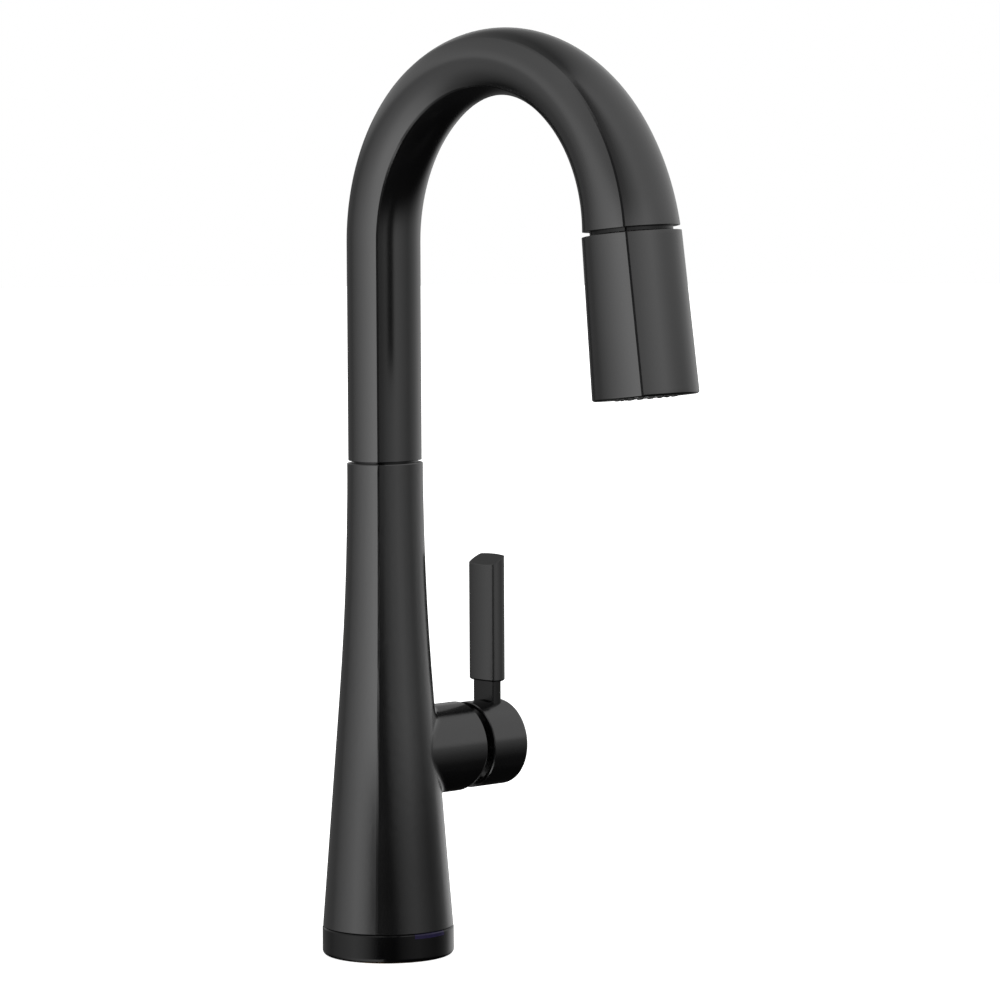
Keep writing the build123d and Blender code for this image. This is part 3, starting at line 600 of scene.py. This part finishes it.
def section(half, bulge, window=0.0, height=0.0, legs=crease_legs):
    """Loop round four swelling sides that meet at narrow flats, with columns at a window's edges."""
    half_x, half_y = half
    radius_x = (half_y ** 2 + bulge ** 2) / (2 * bulge)
    radius_y = (half_x ** 2 + bulge ** 2) / (2 * bulge)
    angle_x = asin(half_y / radius_x) - legs[0] / radius_x
    angle_y = asin(half_x / radius_y) - legs[1] / radius_y
    turns = steps(angle_y, 0, side_steps)
    if window:
        edge = asin(window / radius_y)
        turns = steps(angle_y, edge, side_steps // 2) + steps(edge, 0, side_steps // 2)[1:]
    side_turns = steps(0, angle_x, side_steps)
    quarter = [(half_x + bulge - radius_x * (1 - cos(t)), radius_x * sin(t)) for t in side_turns]
    quarter += [(radius_y * sin(t), half_y + bulge - radius_y * (1 - cos(t))) for t in turns]
    left = [(-x, y) for x, y in reversed(quarter)]
    half_loop = quarter + left[1:]
    back = [(-x, -y) for x, y in half_loop]
    return [(x, y, height) for x, y in half_loop + back[1:-1]]


def circle(radius, height, like, window=0.0):
    """Loop on a circle with a point beside each point of another loop, or square to a window's edges."""
    points = []
    for x, y, _ in like:
        turn = atan2(y, x)
        if window and abs(x) <= window + touch:
            turn = atan2(sqrt(radius ** 2 - x ** 2) * (1 if y > 0 else -1), x)
        points.append((radius * cos(turn), radius * sin(turn), height))
    return points


def geometry_tree(name, sizes):
    """Empty tree with a geometry and named sizes as inputs. Gives the tree's inputs by name."""
    tree = bpy.data.node_groups.new(name, "GeometryNodeTree")
    tree.interface.new_socket("Geometry", in_out="INPUT", socket_type="NodeSocketGeometry")
    for label, size in sizes.items():
        kind = "NodeSocketInt" if isinstance(size, int) else "NodeSocketFloat"
        tree.interface.new_socket(label, in_out="INPUT", socket_type=kind)
    tree.interface.new_socket("Geometry", in_out="OUTPUT", socket_type="NodeSocketGeometry")
    entry = tree.nodes.new("NodeGroupInput")
    return {socket.name: Value(tree, socket) for socket in entry.outputs if socket.name}


def run_tree(geometry, sizes, slot, start=None):
    """Ends a tree, runs it on a mesh with its sizes and gives the plain mesh that it makes."""
    whole = geometry.node("GeometryNodeRealizeInstances", {}, {0: geometry})
    dressed = whole.node("GeometryNodeSetMaterial", {}, {0: whole, "Material": finishes[slot]})
    dressed.node("NodeGroupOutput", {}, {0: dressed})
    tree = geometry.tree
    maker = bpy.data.objects.new(tree.name, start or bpy.data.meshes.new(tree.name))
    bpy.context.scene.collection.objects.link(maker)
    modifier = maker.modifiers.new(tree.name, "NODES")
    modifier.node_group = tree
    for item in tree.interface.items_tree:
        if item.in_out == "INPUT" and item.name in sizes:
            modifier[item.identifier] = sizes[item.name]
    mesh = bpy.data.meshes.new_from_object(maker.evaluated_get(bpy.context.evaluated_depsgraph_get()))
    bpy.data.objects.remove(maker)
    return mesh


def arch_place(angle):
    """Frame square to the spout's line at an angle along the arch."""
    centre = (0.0, arch_radius * (cos(angle) - 1), arch_height + arch_radius * sin(angle))
    return Matrix.Translation(centre) @ Matrix.Rotation(angle, 4, "X")


def spout_section(share):
    """Spout's section at a share of the arch, which widens towards its end."""
    flare = share ** flare_power
    half = [low + flare * (high - low) for low, high in zip(riser_half, spout_end_half)]
    return section(half, riser_bulge + flare * (spout_end_bulge - riser_bulge))


def turned_round(points):
    """The same loop for a frame whose second and third axes point the other way."""
    return [(x, -y, z) for x, y, z in points]


def make_spout():
    """Riser and gooseneck with the dock's recess in its end."""
    shell = Shell()
    riser = spout_section(0.0)
    heights = steps(riser_foot, arch_height, riser_steps)
    shares = steps(0.0, 1.0, arch_steps)[1:]
    outer = [shell.loop([(x, y, height) for x, y, _ in riser]) for height in heights]
    for share in shares:
        shell.place = arch_place(arch_sweep * share)
        outer.append(shell.loop(spout_section(share)))
    shell.place = wand_place
    recess = []
    for height in (0.0, dock_depth):
        recess.append(shell.loop(turned_round(section(dock_half, dock_bulge, height=height))))
    inner = []
    last = 1.0 - dock_depth / (arch_radius * arch_sweep)
    for share in steps(last, 0.0, bore_steps):
        shell.place = arch_place(arch_sweep * share)
        inner.append(shell.loop(circle(spout_bore, 0.0, riser)))
    shell.place = Matrix()
    inner += [shell.loop(circle(spout_bore, height, riser)) for height in reversed(heights[:-1])]
    loops = outer + recess + inner
    for i, (one, two) in enumerate(zip(loops, loops[1:] + loops[:1])):
        shell.bridge(one, two, flat=creases if i < len(outer) - 1 else ())
    mesh = shell.mesh("spout_gooseneck", edge_round)
    place_piece("spout_gooseneck", mesh, "spout", "satin_black", "spout_tube")


def wand_section(height, inset=0.0):
    """Wand's outline at a height along its axis, with columns at the toggle's window."""
    share = (-dock_gap - height) / wand_length
    half = [top + share * (bottom - top) - inset for top, bottom in zip(wand_top_half, wand_bottom_half)]
    return section(half, wand_bulge, toggle_window[0], height)


def make_wand_casing():
    """Casing of the wand, with the nose's hole above, the toggle's window behind and an open foot."""
    shell = Shell(wand_place)
    top = -dock_gap
    ceiling = top - wand_roof
    foot = top - wand_length
    window_top = toggle_window[1] - toggle_drop
    window_foot = -toggle_window[1] - toggle_drop
    heights = steps(top, ceiling, roof_rows)
    heights += steps(ceiling, window_top, upper_rows)[1:]
    heights += steps(window_top, window_foot, window_rows)[1:]
    heights += steps(window_foot, foot, lower_rows)[1:]
    like = wand_section(top)
    outer = [shell.loop(wand_section(height)) for height in heights[:-1] + [foot + wand_foot_bevel]]
    rim = shell.loop(wand_section(foot, wand_foot_bevel))
    inner = [shell.loop(circle(wand_bore, height, like, toggle_window[0])) for height in heights[roof_rows:]]
    opening = [i for i, (x, y, _) in enumerate(like) if y > 0 and abs(x) < toggle_window[0] + touch]
    gap = opening[:-1]
    row_top = roof_rows + upper_rows
    row_foot = row_top + window_rows
    for wall, first in ((outer, 0), (inner, roof_rows)):
        for i in range(len(wall) - 1):
            skip = gap if row_top <= i + first < row_foot else ()
            shell.bridge(wall[i], wall[i + 1], skip, creases if wall is outer else ())
    shell.bridge(outer[-1], rim)
    shell.bridge(rim, inner[-1])
    for row in (row_top, row_foot):
        for i in gap:
            one, two = outer[row], inner[row - roof_rows]
            shell.faces.append((one[i], one[i + 1], two[i + 1], two[i]))
    for column in (opening[0], opening[-1]):
        for row in range(row_top, row_foot):
            behind = row - roof_rows
            outside = (outer[row][column], outer[row + 1][column])
            inside = (inner[behind + 1][column], inner[behind][column])
            shell.faces.append(outside + inside)
    groove = top - keeper_depth
    roof = [
        (nose_hole, ceiling), (nose_hole, top), (keeper_groove[0], top), (keeper_groove[0], groove),
        (keeper_groove[1], groove), (keeper_groove[1], top),
    ]
    loops = [inner[0]]
    loops += [shell.loop(circle(radius, height, like)) for radius, height in roof]
    loops.append(outer[0])
    for one, two in zip(loops, loops[1:]):
        shell.bridge(one, two)
    mesh = shell.mesh("wand_casing", edge_round)
    place_piece("wand_casing", mesh, "wand", "satin_black", "wand_shell")


def make_grip():
    """Flat grip with a slanted top and a pocket for the blade."""
    shell = Shell(Matrix.Translation((lever_reach, 0.0, grip_foot)))
    rim = section(grip_half, grip_bulge, height=grip_foot_bevel, legs=grip_legs)
    foot = shell.loop(section([half - grip_foot_bevel for half in grip_half], grip_bulge, legs=grip_legs))
    brim = shell.loop(rim)
    top = shell.loop([(x, y, grip_height + grip_slant / 2 + x * grip_slope) for x, y, _ in rim])
    pocket = [shell.loop(section(pocket_half, pocket_bulge, height=height)) for height in (0.0, pocket_depth)]
    shell.bridge(brim, top, flat=creases)
    shell.bridge(foot, brim, flat=range(len(rim)))
    shell.bridge(foot, pocket[0])
    shell.bridge(pocket[0], pocket[1])
    shell.faces += [tuple(top), tuple(pocket[1])]
    mesh = shell.mesh("lever_grip_flat", grip_round, grip_edge_angle)
    place_piece("slanted_grip", mesh, "handle", "satin_black", "lever_grip")


def lathe(shell, profile, sides=48):
    """Wall turned about the shell's own +Z axis from (radius, height) points."""
    turns = [2 * pi * i / sides for i in range(sides)]
    loops = []
    for radius, height in profile:
        loops.append(shell.loop([(radius * cos(t), radius * sin(t), height) for t in turns]))
    for one, two in zip(loops, loops[1:]):
        shell.bridge(one, two)
    if profile[0][0]:
        shell.bridge(loops[-1], loops[0])


def joined(name, *meshes):
    """One mesh of several, smooth but for its sharp edges."""
    work = bmesh.new()
    for mesh in meshes:
        work.from_mesh(mesh)
    whole = bpy.data.meshes.new(name)
    work.to_mesh(whole)
    work.free()
    whole.polygons.foreach_set("use_smooth", [True] * len(whole.polygons))
    whole.set_sharp_from_angle(angle=shade_angle)
    return whole


def make_nozzles():
    """Rubber plate with two rings of soft nozzles, each with a waterway in its tip."""
    face = -dock_gap - wand_length + face_inset
    tip = -dock_gap - wand_length - nozzle_drop
    back = face + face_height
    nub = Shell()
    lathe(nub, [
        (0.0, back + nozzle_sunk), (nozzle_root, back + nozzle_sunk), (nozzle_root, back),
        (nozzle_neck, back - nozzle_shoulder), (nozzle_neck, face), (nozzle_tip, tip + nozzle_chamfer),
        (nozzle_tip - nozzle_chamfer, tip), (nozzle_hole, tip), (nozzle_hole, tip + nozzle_hole_depth),
        (0.0, tip + nozzle_hole_depth),
    ], nozzle_sides)
    sizes = {
        "Inner count": inner_nozzles, "Inner radius": inner_nozzle_ring * mm,
        "Outer count": outer_nozzles, "Outer radius": outer_nozzle_ring * mm,
    }
    inputs = geometry_tree("nozzle_rings", sizes)
    start = inputs["Geometry"]
    rings = [
        start.node("GeometryNodeMeshCircle", {},
                   {"Vertices": inputs[f"{place} count"], "Radius": inputs[f"{place} radius"]})
        for place in ("Inner", "Outer")
    ]
    both = start.node("GeometryNodeJoinGeometry")
    for one in rings:
        start.tree.links.new(one.socket, both.socket.node.inputs[0])
    nozzles = both.node("GeometryNodeInstanceOnPoints", {}, {"Points": both, "Instance": start})
    nozzle_mesh = run_tree(nozzles, sizes, "rubber", nub.mesh("nozzle"))
    plate = Shell()
    lathe(plate, [
        (plate_hole, back), (plate_radius, back), (plate_radius, back + plate_height),
        (plate_hole, back + plate_height),
    ])
    mesh = joined("nozzle_membrane", nozzle_mesh, plate.mesh("plate", plate_round))
    mesh.transform(wand_matrix)
    place_piece("rubber_nozzles", mesh, "wand", "rubber", "nozzle_membrane")


def thread(name, radius, pitch, low, high, slot):
    """Ridge that winds up a round core, with a crest at the radius."""
    ridge = ridge_share * pitch
    sizes = {
        "Radius": (radius - ridge) * mm, "Turns": (high - low) / pitch, "Length": (high - low) * mm,
        "Ridge": ridge * mm,
    }
    inputs = geometry_tree(name, sizes)
    start = inputs["Geometry"]
    helix = start.node(
        "GeometryNodeCurveSpiral", {},
        {"Resolution": thread_steps, "Rotations": inputs["Turns"], "Start Radius": inputs["Radius"],
         "End Radius": inputs["Radius"], "Height": inputs["Length"]})
    upright = helix.node("GeometryNodeSetCurveNormal", {"mode": "Z_UP"}, {0: helix})
    triangle = {"Resolution": ridge_sides, "Radius": inputs["Ridge"]}
    profile = start.node("GeometryNodeCurvePrimitiveCircle", {}, triangle)
    outward = profile.node("GeometryNodeTransform", {}, {0: profile, "Rotation": (0.0, 0.0, ridge_turn)})
    wound = upright.node("GeometryNodeCurveToMesh", {}, {0: upright, 1: outward, "Fill Caps": True})
    mesh = run_tree(wound, sizes, slot)
    mesh.transform(Matrix.Translation((0.0, 0.0, low * mm)))
    return mesh


def thread_core(radius, pitch):
    """Radius of the core that a thread's ridge sits on."""
    return radius - core_share * pitch


def make_shank():
    """Threaded shank with its collar on the body's floor."""
    core = thread_core(shank_radius, shank_pitch)
    shell = Shell()
    lathe(shell, [
        (shank_bore, -shank_drop), (core - shank_taper[0], -shank_drop), (core, shank_taper[1] - shank_drop),
        (core, shank_shoulder[0]), (shank_radius, shank_shoulder[1]), (shank_radius, shank_collar_foot),
        (shank_collar, shank_collar_foot), (shank_collar, shank_collar_top), (shank_bore, shank_collar_top),
    ], shank_sides)
    ridge = thread("shank_thread", shank_radius, shank_pitch, *shank_thread, "brass")
    mesh = joined("threaded_shank", shell.mesh("shank", shank_round), ridge)
    place_piece("threaded_shank", mesh, "faucet_body", "brass", "mounting_shank")


def make_clamp_screws():
    """Two grub screws through the nut, slotted below, with a turned point above."""
    core = thread_core(screw_radius, screw_pitch)
    foot = screw_top - screw_length
    slot_roof = foot + slot_depth
    thread_foot = slot_roof + screw_foot_taper[1]
    shell = Shell()
    lathe(shell, [
        (0.0, slot_roof), (core - screw_foot_taper[0], slot_roof), (core, thread_foot),
        (core, screw_core_top), (screw_point, screw_point_foot), (screw_point, screw_top), (0.0, screw_top),
    ], screw_sides)
    slot_edge = asin(slot_half / core)
    for side in (1, -1):
        edge = [(side * core * sin(t), core * cos(t)) for t in steps(slot_edge, pi - slot_edge, slot_steps)]
        low = shell.loop([(x, y, foot) for x, y in edge])
        high = shell.loop([(x, y, slot_roof + slot_cheek_sunk) for x, y in edge])
        shell.bridge(low, high)
        shell.faces += [tuple(low), tuple(reversed(high))]
    ridge = thread("screw_thread", screw_radius, screw_pitch, thread_foot, screw_thread_top, "steel")
    screw = joined("clamp_screw", shell.mesh("screw"), ridge)
    pair = []
    for side in (1, -1):
        copy = screw.copy()
        copy.transform(Matrix.Translation((side * screw_circle * mm, 0.0, 0.0)))
        pair.append(copy)
    mesh = joined("slotted_clamp_screws", *pair)
    place_piece("slotted_clamp_screws", mesh, "faucet_body", "steel", "clamp_screws")


def make_coupling():
    """Brass coupling on the hose's lower end: a crimped ferrule above, a thread for the supply below."""
    core = thread_core(coupling_radius, coupling_pitch)
    seat = hose_radius + coupling_play
    crimp = coupling_radius - crimp_depth
    shell = Shell()
    lathe(shell, [
        (hose_bore, coupling_foot), (core - coupling_taper[0], coupling_foot),
        (core, coupling_foot + coupling_taper[1]), (core, coupling_shoulder[0]),
        (coupling_radius, coupling_shoulder[1]), (coupling_radius, crimp_foot),
        (crimp, crimp_foot + crimp_slope), (crimp, crimp_top - crimp_slope), (coupling_radius, crimp_top),
        (coupling_radius, coupling_top - coupling_chamfer),
        (coupling_radius - coupling_chamfer, coupling_top),
        (seat, coupling_top), (seat, -hose_drop), (hose_bore, -hose_drop),
    ], coupling_sides)
    ridge = thread("coupling_thread", coupling_radius, coupling_pitch, *coupling_thread, "brass")
    mesh = joined("threaded_coupling", shell.mesh("coupling", coupling_round), ridge)
    place_piece("threaded_coupling", mesh, "spout", "brass", "hose_coupling")


def pulled_height(height):
    """Where a point of the hose's end stands along the wand when the wand is fully pulled."""
    share = (stretch_start - height) / (stretch_start - hose_end)
    return height - wand_travel * share ** 2 * (3 - 2 * share)


def stretch_heights():
    """Heights in the hose's end that stand evenly spaced once the wand is pulled."""
    heights = []
    for target in steps(stretch_start, hose_end - wand_travel, stretch_rings):
        low, high = hose_end, stretch_start
        for _ in range(stretch_halvings):
            middle = (low + high) / 2
            low, high = (middle, high) if pulled_height(middle) < target else (low, middle)
        heights.append(high)
    return heights


def hose_rings():
    """Frames along the hose with the braid's length at each, measured with the wand pulled."""
    riser = steps(-hose_drop, arch_height, hose_riser_steps)
    rings = [(Matrix.Translation((0, 0, height)), height + hose_drop) for height in riser]
    length = arch_height + hose_drop
    bend_end = arch_sweep - asin(stretch_start / arch_radius)
    for angle in steps(0.0, bend_end, hose_arch_steps)[1:]:
        left = (arch_sweep - angle) / (arch_sweep - bend_end)
        lean = arch_sweep - (arch_sweep - angle) * min(max(left - 1.0, 0.0), 1.0)
        centre = arch_place(angle).to_translation()
        place = Matrix.Translation(centre) @ Matrix.Rotation(lean, 4, "X")
        rings.append((place, length + arch_radius * angle))
    length += arch_radius * bend_end
    for height in stretch_heights()[1:]:
        centre = arch_place(arch_sweep - asin(height / arch_radius)).to_translation()
        place = Matrix.Translation(centre) @ Matrix.Rotation(arch_sweep, 4, "X")
        rings.append((place, length + stretch_start - pulled_height(height)))
    return rings


def round_loop(radius):
    """Loop on a circle, with as many points as the hose has sides."""
    turns = [2 * pi * i / hose_sides for i in range(hose_sides)]
    return [(radius * cos(turn), radius * sin(turn), 0.0) for turn in turns]


def chart_braid(mesh, lengths):
    """Lays the hose out by turn and length, in strands."""
    chart = mesh.uv_layers.new(name="braid")
    for face in mesh.polygons:
        columns = [i % hose_sides for i in face.vertices]
        wraps = max(columns) - min(columns) > 1
        for corner, i, column in zip(face.loop_indices, face.vertices, columns):
            turn = 1.0 if wraps and column == 0 else column / hose_sides
            chart.data[corner].uv = (turn, lengths[i // hose_sides] / strand_pitch)


def place_hose(name, rings, body, *nodes):
    """Stretch of braided hose through frames along it."""
    shell = Shell()
    outer = []
    for place, _ in rings:
        shell.place = place
        outer.append(shell.loop(round_loop(hose_radius)))
    inner = []
    for place, _ in reversed(rings):
        shell.place = place
        inner.append(shell.loop(round_loop(hose_bore)))
    shell.ring(outer + inner)
    mesh = shell.mesh(name)
    lengths = [length for _, length in rings]
    chart_braid(mesh, lengths + lengths[::-1])
    return place_piece(name, mesh, body, "hose", *nodes)


def make_hose():
    """Braided hose from its coupling up the riser and round the arch, with a loose end whose rings are spaced
    for the wand's pull.
    """
    rings = hose_rings()
    place_hose("braided_hose", rings[:-stretch_rings], "spout", "spray_hose")
    piece = place_hose("paid_out_hose", rings[-stretch_rings - 1:], None)
    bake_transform(piece)


def toggle_surface(across, height):
    """How far the rocker's face stands from the wand's axis."""
    share = (-dock_gap - height) / wand_length
    half_x, half_y = (top + share * (bottom - top) + toggle_proud
                      for top, bottom in zip(wand_top_half, wand_bottom_half))
    radius = (half_x ** 2 + wand_bulge ** 2) / (2 * wand_bulge)
    return half_y + wand_bulge - radius + sqrt(radius ** 2 - across ** 2)


def make_toggle_ribs():
    """Raised ribs across both ends of the rocker."""
    rib = Shell()
    shoulder_height = rib_shoulder[0] * rib_height
    shoulder_width = rib_shoulder[1] * rib_width
    profile = [
        (-rib_sunk, -rib_width), (shoulder_height, -shoulder_width), (rib_height, 0.0),
        (shoulder_height, shoulder_width), (-rib_sunk, rib_width),
    ]
    loops = []
    for across in steps(-rib_reach, rib_reach, rib_steps):
        base = toggle_surface(across, -toggle_drop)
        loops.append(rib.loop([(across, base + rise, along - toggle_drop) for rise, along in profile]))
    for one, two in zip(loops, loops[1:]):
        rib.bridge(one, two)
    rib.faces += [tuple(loops[0]), tuple(reversed(loops[-1]))]
    lean = (wand_top_half[1] - wand_bottom_half[1]) / wand_length
    sizes = {"Count": rib_count, "First": first_rib * mm, "Spacing": rib_spacing * mm, "Lean": lean}
    inputs = geometry_tree("rib_rows", sizes)
    start = inputs["Geometry"]
    rows = start.node("GeometryNodeJoinGeometry")
    for side in (1.0, -1.0):
        first = inputs["First"] * side
        step = inputs["Spacing"] * side
        origin = start.node("ShaderNodeCombineXYZ", {}, {1: first * inputs["Lean"], 2: first})
        offset = start.node("ShaderNodeCombineXYZ", {}, {1: step * inputs["Lean"], 2: step})
        line = start.node("GeometryNodeMeshLine", {},
                          {"Count": inputs["Count"], "Start Location": origin, "Offset": offset})
        start.tree.links.new(line.socket, rows.socket.node.inputs[0])
    ribs = rows.node("GeometryNodeInstanceOnPoints", {}, {"Points": rows, "Instance": start})
    mesh = run_tree(ribs, sizes, "black_plastic", rib.mesh("rib", rib_round))
    mesh.transform(wand_matrix)
    place_piece("toggle_ribs", mesh, "toggle", "black_plastic")


make_spout()
make_wand_casing()
make_grip()
make_nozzles()
make_shank()
make_clamp_screws()
make_coupling()
make_hose()
make_toggle_ribs()


# Floor, light and camera
floor_hole = 17.5 * mm
floor_radius = 6.0
floor_sides = 96


def make_floor():
    """Pale deck with the faucet's hole in it."""
    mesh = bpy.data.meshes.new("deck")
    points = []
    for radius in (floor_hole, floor_radius):
        for i in range(floor_sides):
            turn = 2 * pi * i / floor_sides
            points.append((radius * cos(turn), radius * sin(turn), 0.0))
    faces = []
    for i in range(floor_sides):
        after = (i + 1) % floor_sides
        faces.append((i, floor_sides + i, floor_sides + after, after))
    mesh.from_pydata(points, [], faces)
    floor = bpy.data.objects.new("deck", mesh)
    bpy.context.scene.collection.objects.link(floor)
    mesh.materials.append(finish("pale_deck", pale_deck, Emission_Strength=1.0))
    floor.visible_glossy = False
    floor.visible_diffuse = False
    floor.visible_shadow = False


def pale_deck(place):
    """White that glows a little less round the faucet: a painted soft shadow there."""
    painted_shadow = place.node("ShaderNodeTexGradient", {"gradient_type": "SPHERICAL"},
                      {"Vector": stretched(place, (4.0, 4.0, 4.0))}, output="Fac")
    cloud = noise(place, 3.0, 2.0)
    return {
        "Base Color": shades(cloud, (0.3, (0.55, 0.55, 0.55)), (0.7, (0.6, 0.6, 0.6))),
        # Painted shadow: the glow falls from white to 0.8 round the faucet
        "Emission Color": shades(painted_shadow, (0.0, (1.0, 1.0, 1.0)), (1.0, (0.8, 0.8, 0.8))),
        "Roughness": 0.9 + 0.05 * cloud,
    }


# Studio: brightness by bearing in degrees, at rises below, about and above the horizon
studio_rises = (-80.0, -55.0, -30.0, -8.0, 4.0, 11.0, 30.0)
side_panel = (
    (0, 1.1), (28, 1.0), (44, 0.1), (90, 0.22), (112, 0.33), (132, 0.92), (156, 1.75), (181, 2.65),
    (204, 3.5), (215, 3.8), (220, 0.02), (241, 0.02), (252, 0.5), (264, 0.85), (286, 1.3), (303, 0.9),
    (320, 0.5), (360, 1.1),
)
low_panel = (
    (0, 0.005), (100, 0.01), (130, 0.6), (150, 2.0), (175, 3.0), (213, 3.3), (218, 0.005), (360, 0.005),
)
studio_panels = (
    ((0, 0.005), (360, 0.005)),
    low_panel,
    low_panel,
    side_panel,
    side_panel,
    (
        (0, 1.1), (40, 0.7), (60, 0.5), (120, 1.2), (160, 2.2), (195, 3.0), (213, 3.0), (219, 0.05),
        (238, 0.05), (252, 1.8), (285, 2.4), (310, 1.5), (360, 1.1),
    ),
    (
        (0, 1.1), (40, 0.45), (60, 0.22), (90, 0.5), (120, 1.0), (160, 1.6), (205, 1.3), (216, 0.15),
        (240, 0.15), (262, 1.0), (285, 1.8), (310, 1.5), (360, 1.1),
    ),
)
studio_peak = 4.0

# Gauze before the lower body: its place in millimetres and degrees, and the share that it covers by bearing
flag_distance = 200.0
flag_heights = (-60.0, 110.0)
flag_fade = (45.0, 105.0)
flag_bearings = (165.0, 360.0)
flag_steps = 64
flag_cover = (
    (172, 0.0), (186, 0.3), (204, 0.82), (214, 1.0), (230, 1.0), (242, 0.6), (253, 0.42), (270, 0.36),
    (288, 0.5), (307, 0.57), (330, 0.64), (345, 0.5), (360, 0.0),
)


def make_flag():
    """Dark gauze, unseen by the camera, that shades the lower body from the panels in front of it."""
    points = []
    for height in flag_heights:
        for turn in steps(*flag_bearings, flag_steps):
            points.append((flag_distance * cos(radians(turn)), flag_distance * sin(radians(turn)), height))
    faces = [(i, i + 1, flag_steps + i + 2, flag_steps + i + 1) for i in range(flag_steps)]
    mesh = bpy.data.meshes.new("flag")
    mesh.from_pydata([Vector(point) * mm for point in points], [], faces)
    mesh.materials.append(finish("dark_gauze", dark_gauze))
    flag = bpy.data.objects.new("flag", mesh)
    bpy.context.scene.collection.objects.link(flag)
    flag.visible_camera = False
    flag.visible_diffuse = False
    flag.visible_shadow = False


def turn_about(x, y):
    """Bearing round +Z as a share of a full turn."""
    turn = y.math("ARCTAN2", y, x) * (1 / (2 * pi))
    return turn.math("FRACT", turn + 1.0, 0.0)


def dark_gauze(place):
    """Black net whose cover changes with the bearing and thins out towards its upper edge."""
    x, y, z = (place.node("ShaderNodeSeparateXYZ", {}, {0: place}, output=axis) for axis in "XYZ")
    cover = shades(turn_about(x, y), *[(turn / 360, (share,) * 3) for turn, share in flag_cover])
    low, high = (height * mm for height in flag_fade)
    edge = {"Value": z, "From Min": low, "From Max": high, "To Min": 1.0, "To Max": 0.0}
    fade = z.node("ShaderNodeMapRange", {"interpolation_type": "SMOOTHSTEP"}, edge)
    grain = noise(place, 300.0)
    return {
        "Base Color": shades(grain, (0.3, (0.004, 0.004, 0.004)), (0.7, (0.006, 0.006, 0.006))),
        "Roughness": 0.8 + 0.1 * grain,
        "Alpha": fade * cover,
    }


def make_world():
    """White to the eye. In the faucet's sheen it is a dim room with soft panels that draw the facets."""
    world = bpy.data.worlds.new("studio")
    bpy.context.scene.world = world
    world.use_nodes = True
    tree = world.node_tree
    tree.nodes.clear()
    start = Value(tree)
    out = start.node("ShaderNodeTexCoord", output="Generated")
    x, y, z = (out.node("ShaderNodeSeparateXYZ", {}, {0: out}, output=axis) for axis in "XYZ")
    bearing = turn_about(x, y)
    rise = z.math("ARCSINE", z, 0.0) * (180 / pi)
    rows = []
    for panel in studio_panels:
        stops = [(turn / 360, (level / studio_peak,) * 3) for turn, level in panel]
        rows.append(shades(bearing, *stops))
    glow = rows[0]
    for row, low, high in zip(rows[1:], studio_rises, studio_rises[1:]):
        span = {"Value": rise, "From Min": low, "From Max": high}
        share = rise.node("ShaderNodeMapRange", {"interpolation_type": "SMOOTHSTEP"}, span)
        glow = share.node("ShaderNodeMix", {"data_type": "RGBA"}, {0: share, 6: glow, 7: row}, output=2)
    room = start.node("ShaderNodeBackground", {}, {"Color": glow, "Strength": studio_peak})
    paper = start.node("ShaderNodeBackground", {}, {"Color": (1.0, 1.0, 1.0, 1.0), "Strength": 1.0})
    seen = start.node("ShaderNodeLightPath", output="Is Camera Ray")
    both = start.node("ShaderNodeMixShader", {}, {0: seen, 1: room, 2: paper})
    start.node("ShaderNodeOutputWorld", {}, {"Surface": both})


# Camera fitted to the photograph: its place, its axes, and its lens and film in millimetres
camera_place = Vector((-1371.286, -1591.800, 377.389)) * mm
camera_right = Vector((0.742328, -0.670020, -0.004778))
camera_up = Vector((0.062996, 0.062691, 0.996043))
camera_lens = 182.556
camera_film = 36.0


def make_camera():
    """Camera at the photograph's place and angle."""
    data = bpy.data.cameras.new("camera")
    data.lens = camera_lens
    data.sensor_width = camera_film
    data.sensor_fit = "HORIZONTAL"
    data.clip_end = 100.0
    camera = bpy.data.objects.new("camera", data)
    turn = Matrix((camera_right, camera_up, camera_right.cross(camera_up))).transposed()
    camera.matrix_world = Matrix.Translation(camera_place) @ turn.to_4x4()
    bpy.context.scene.collection.objects.link(camera)
    bpy.context.scene.camera = camera


make_floor()
make_flag()
make_world()
make_camera()
bpy.context.scene.view_settings.view_transform = "Standard"
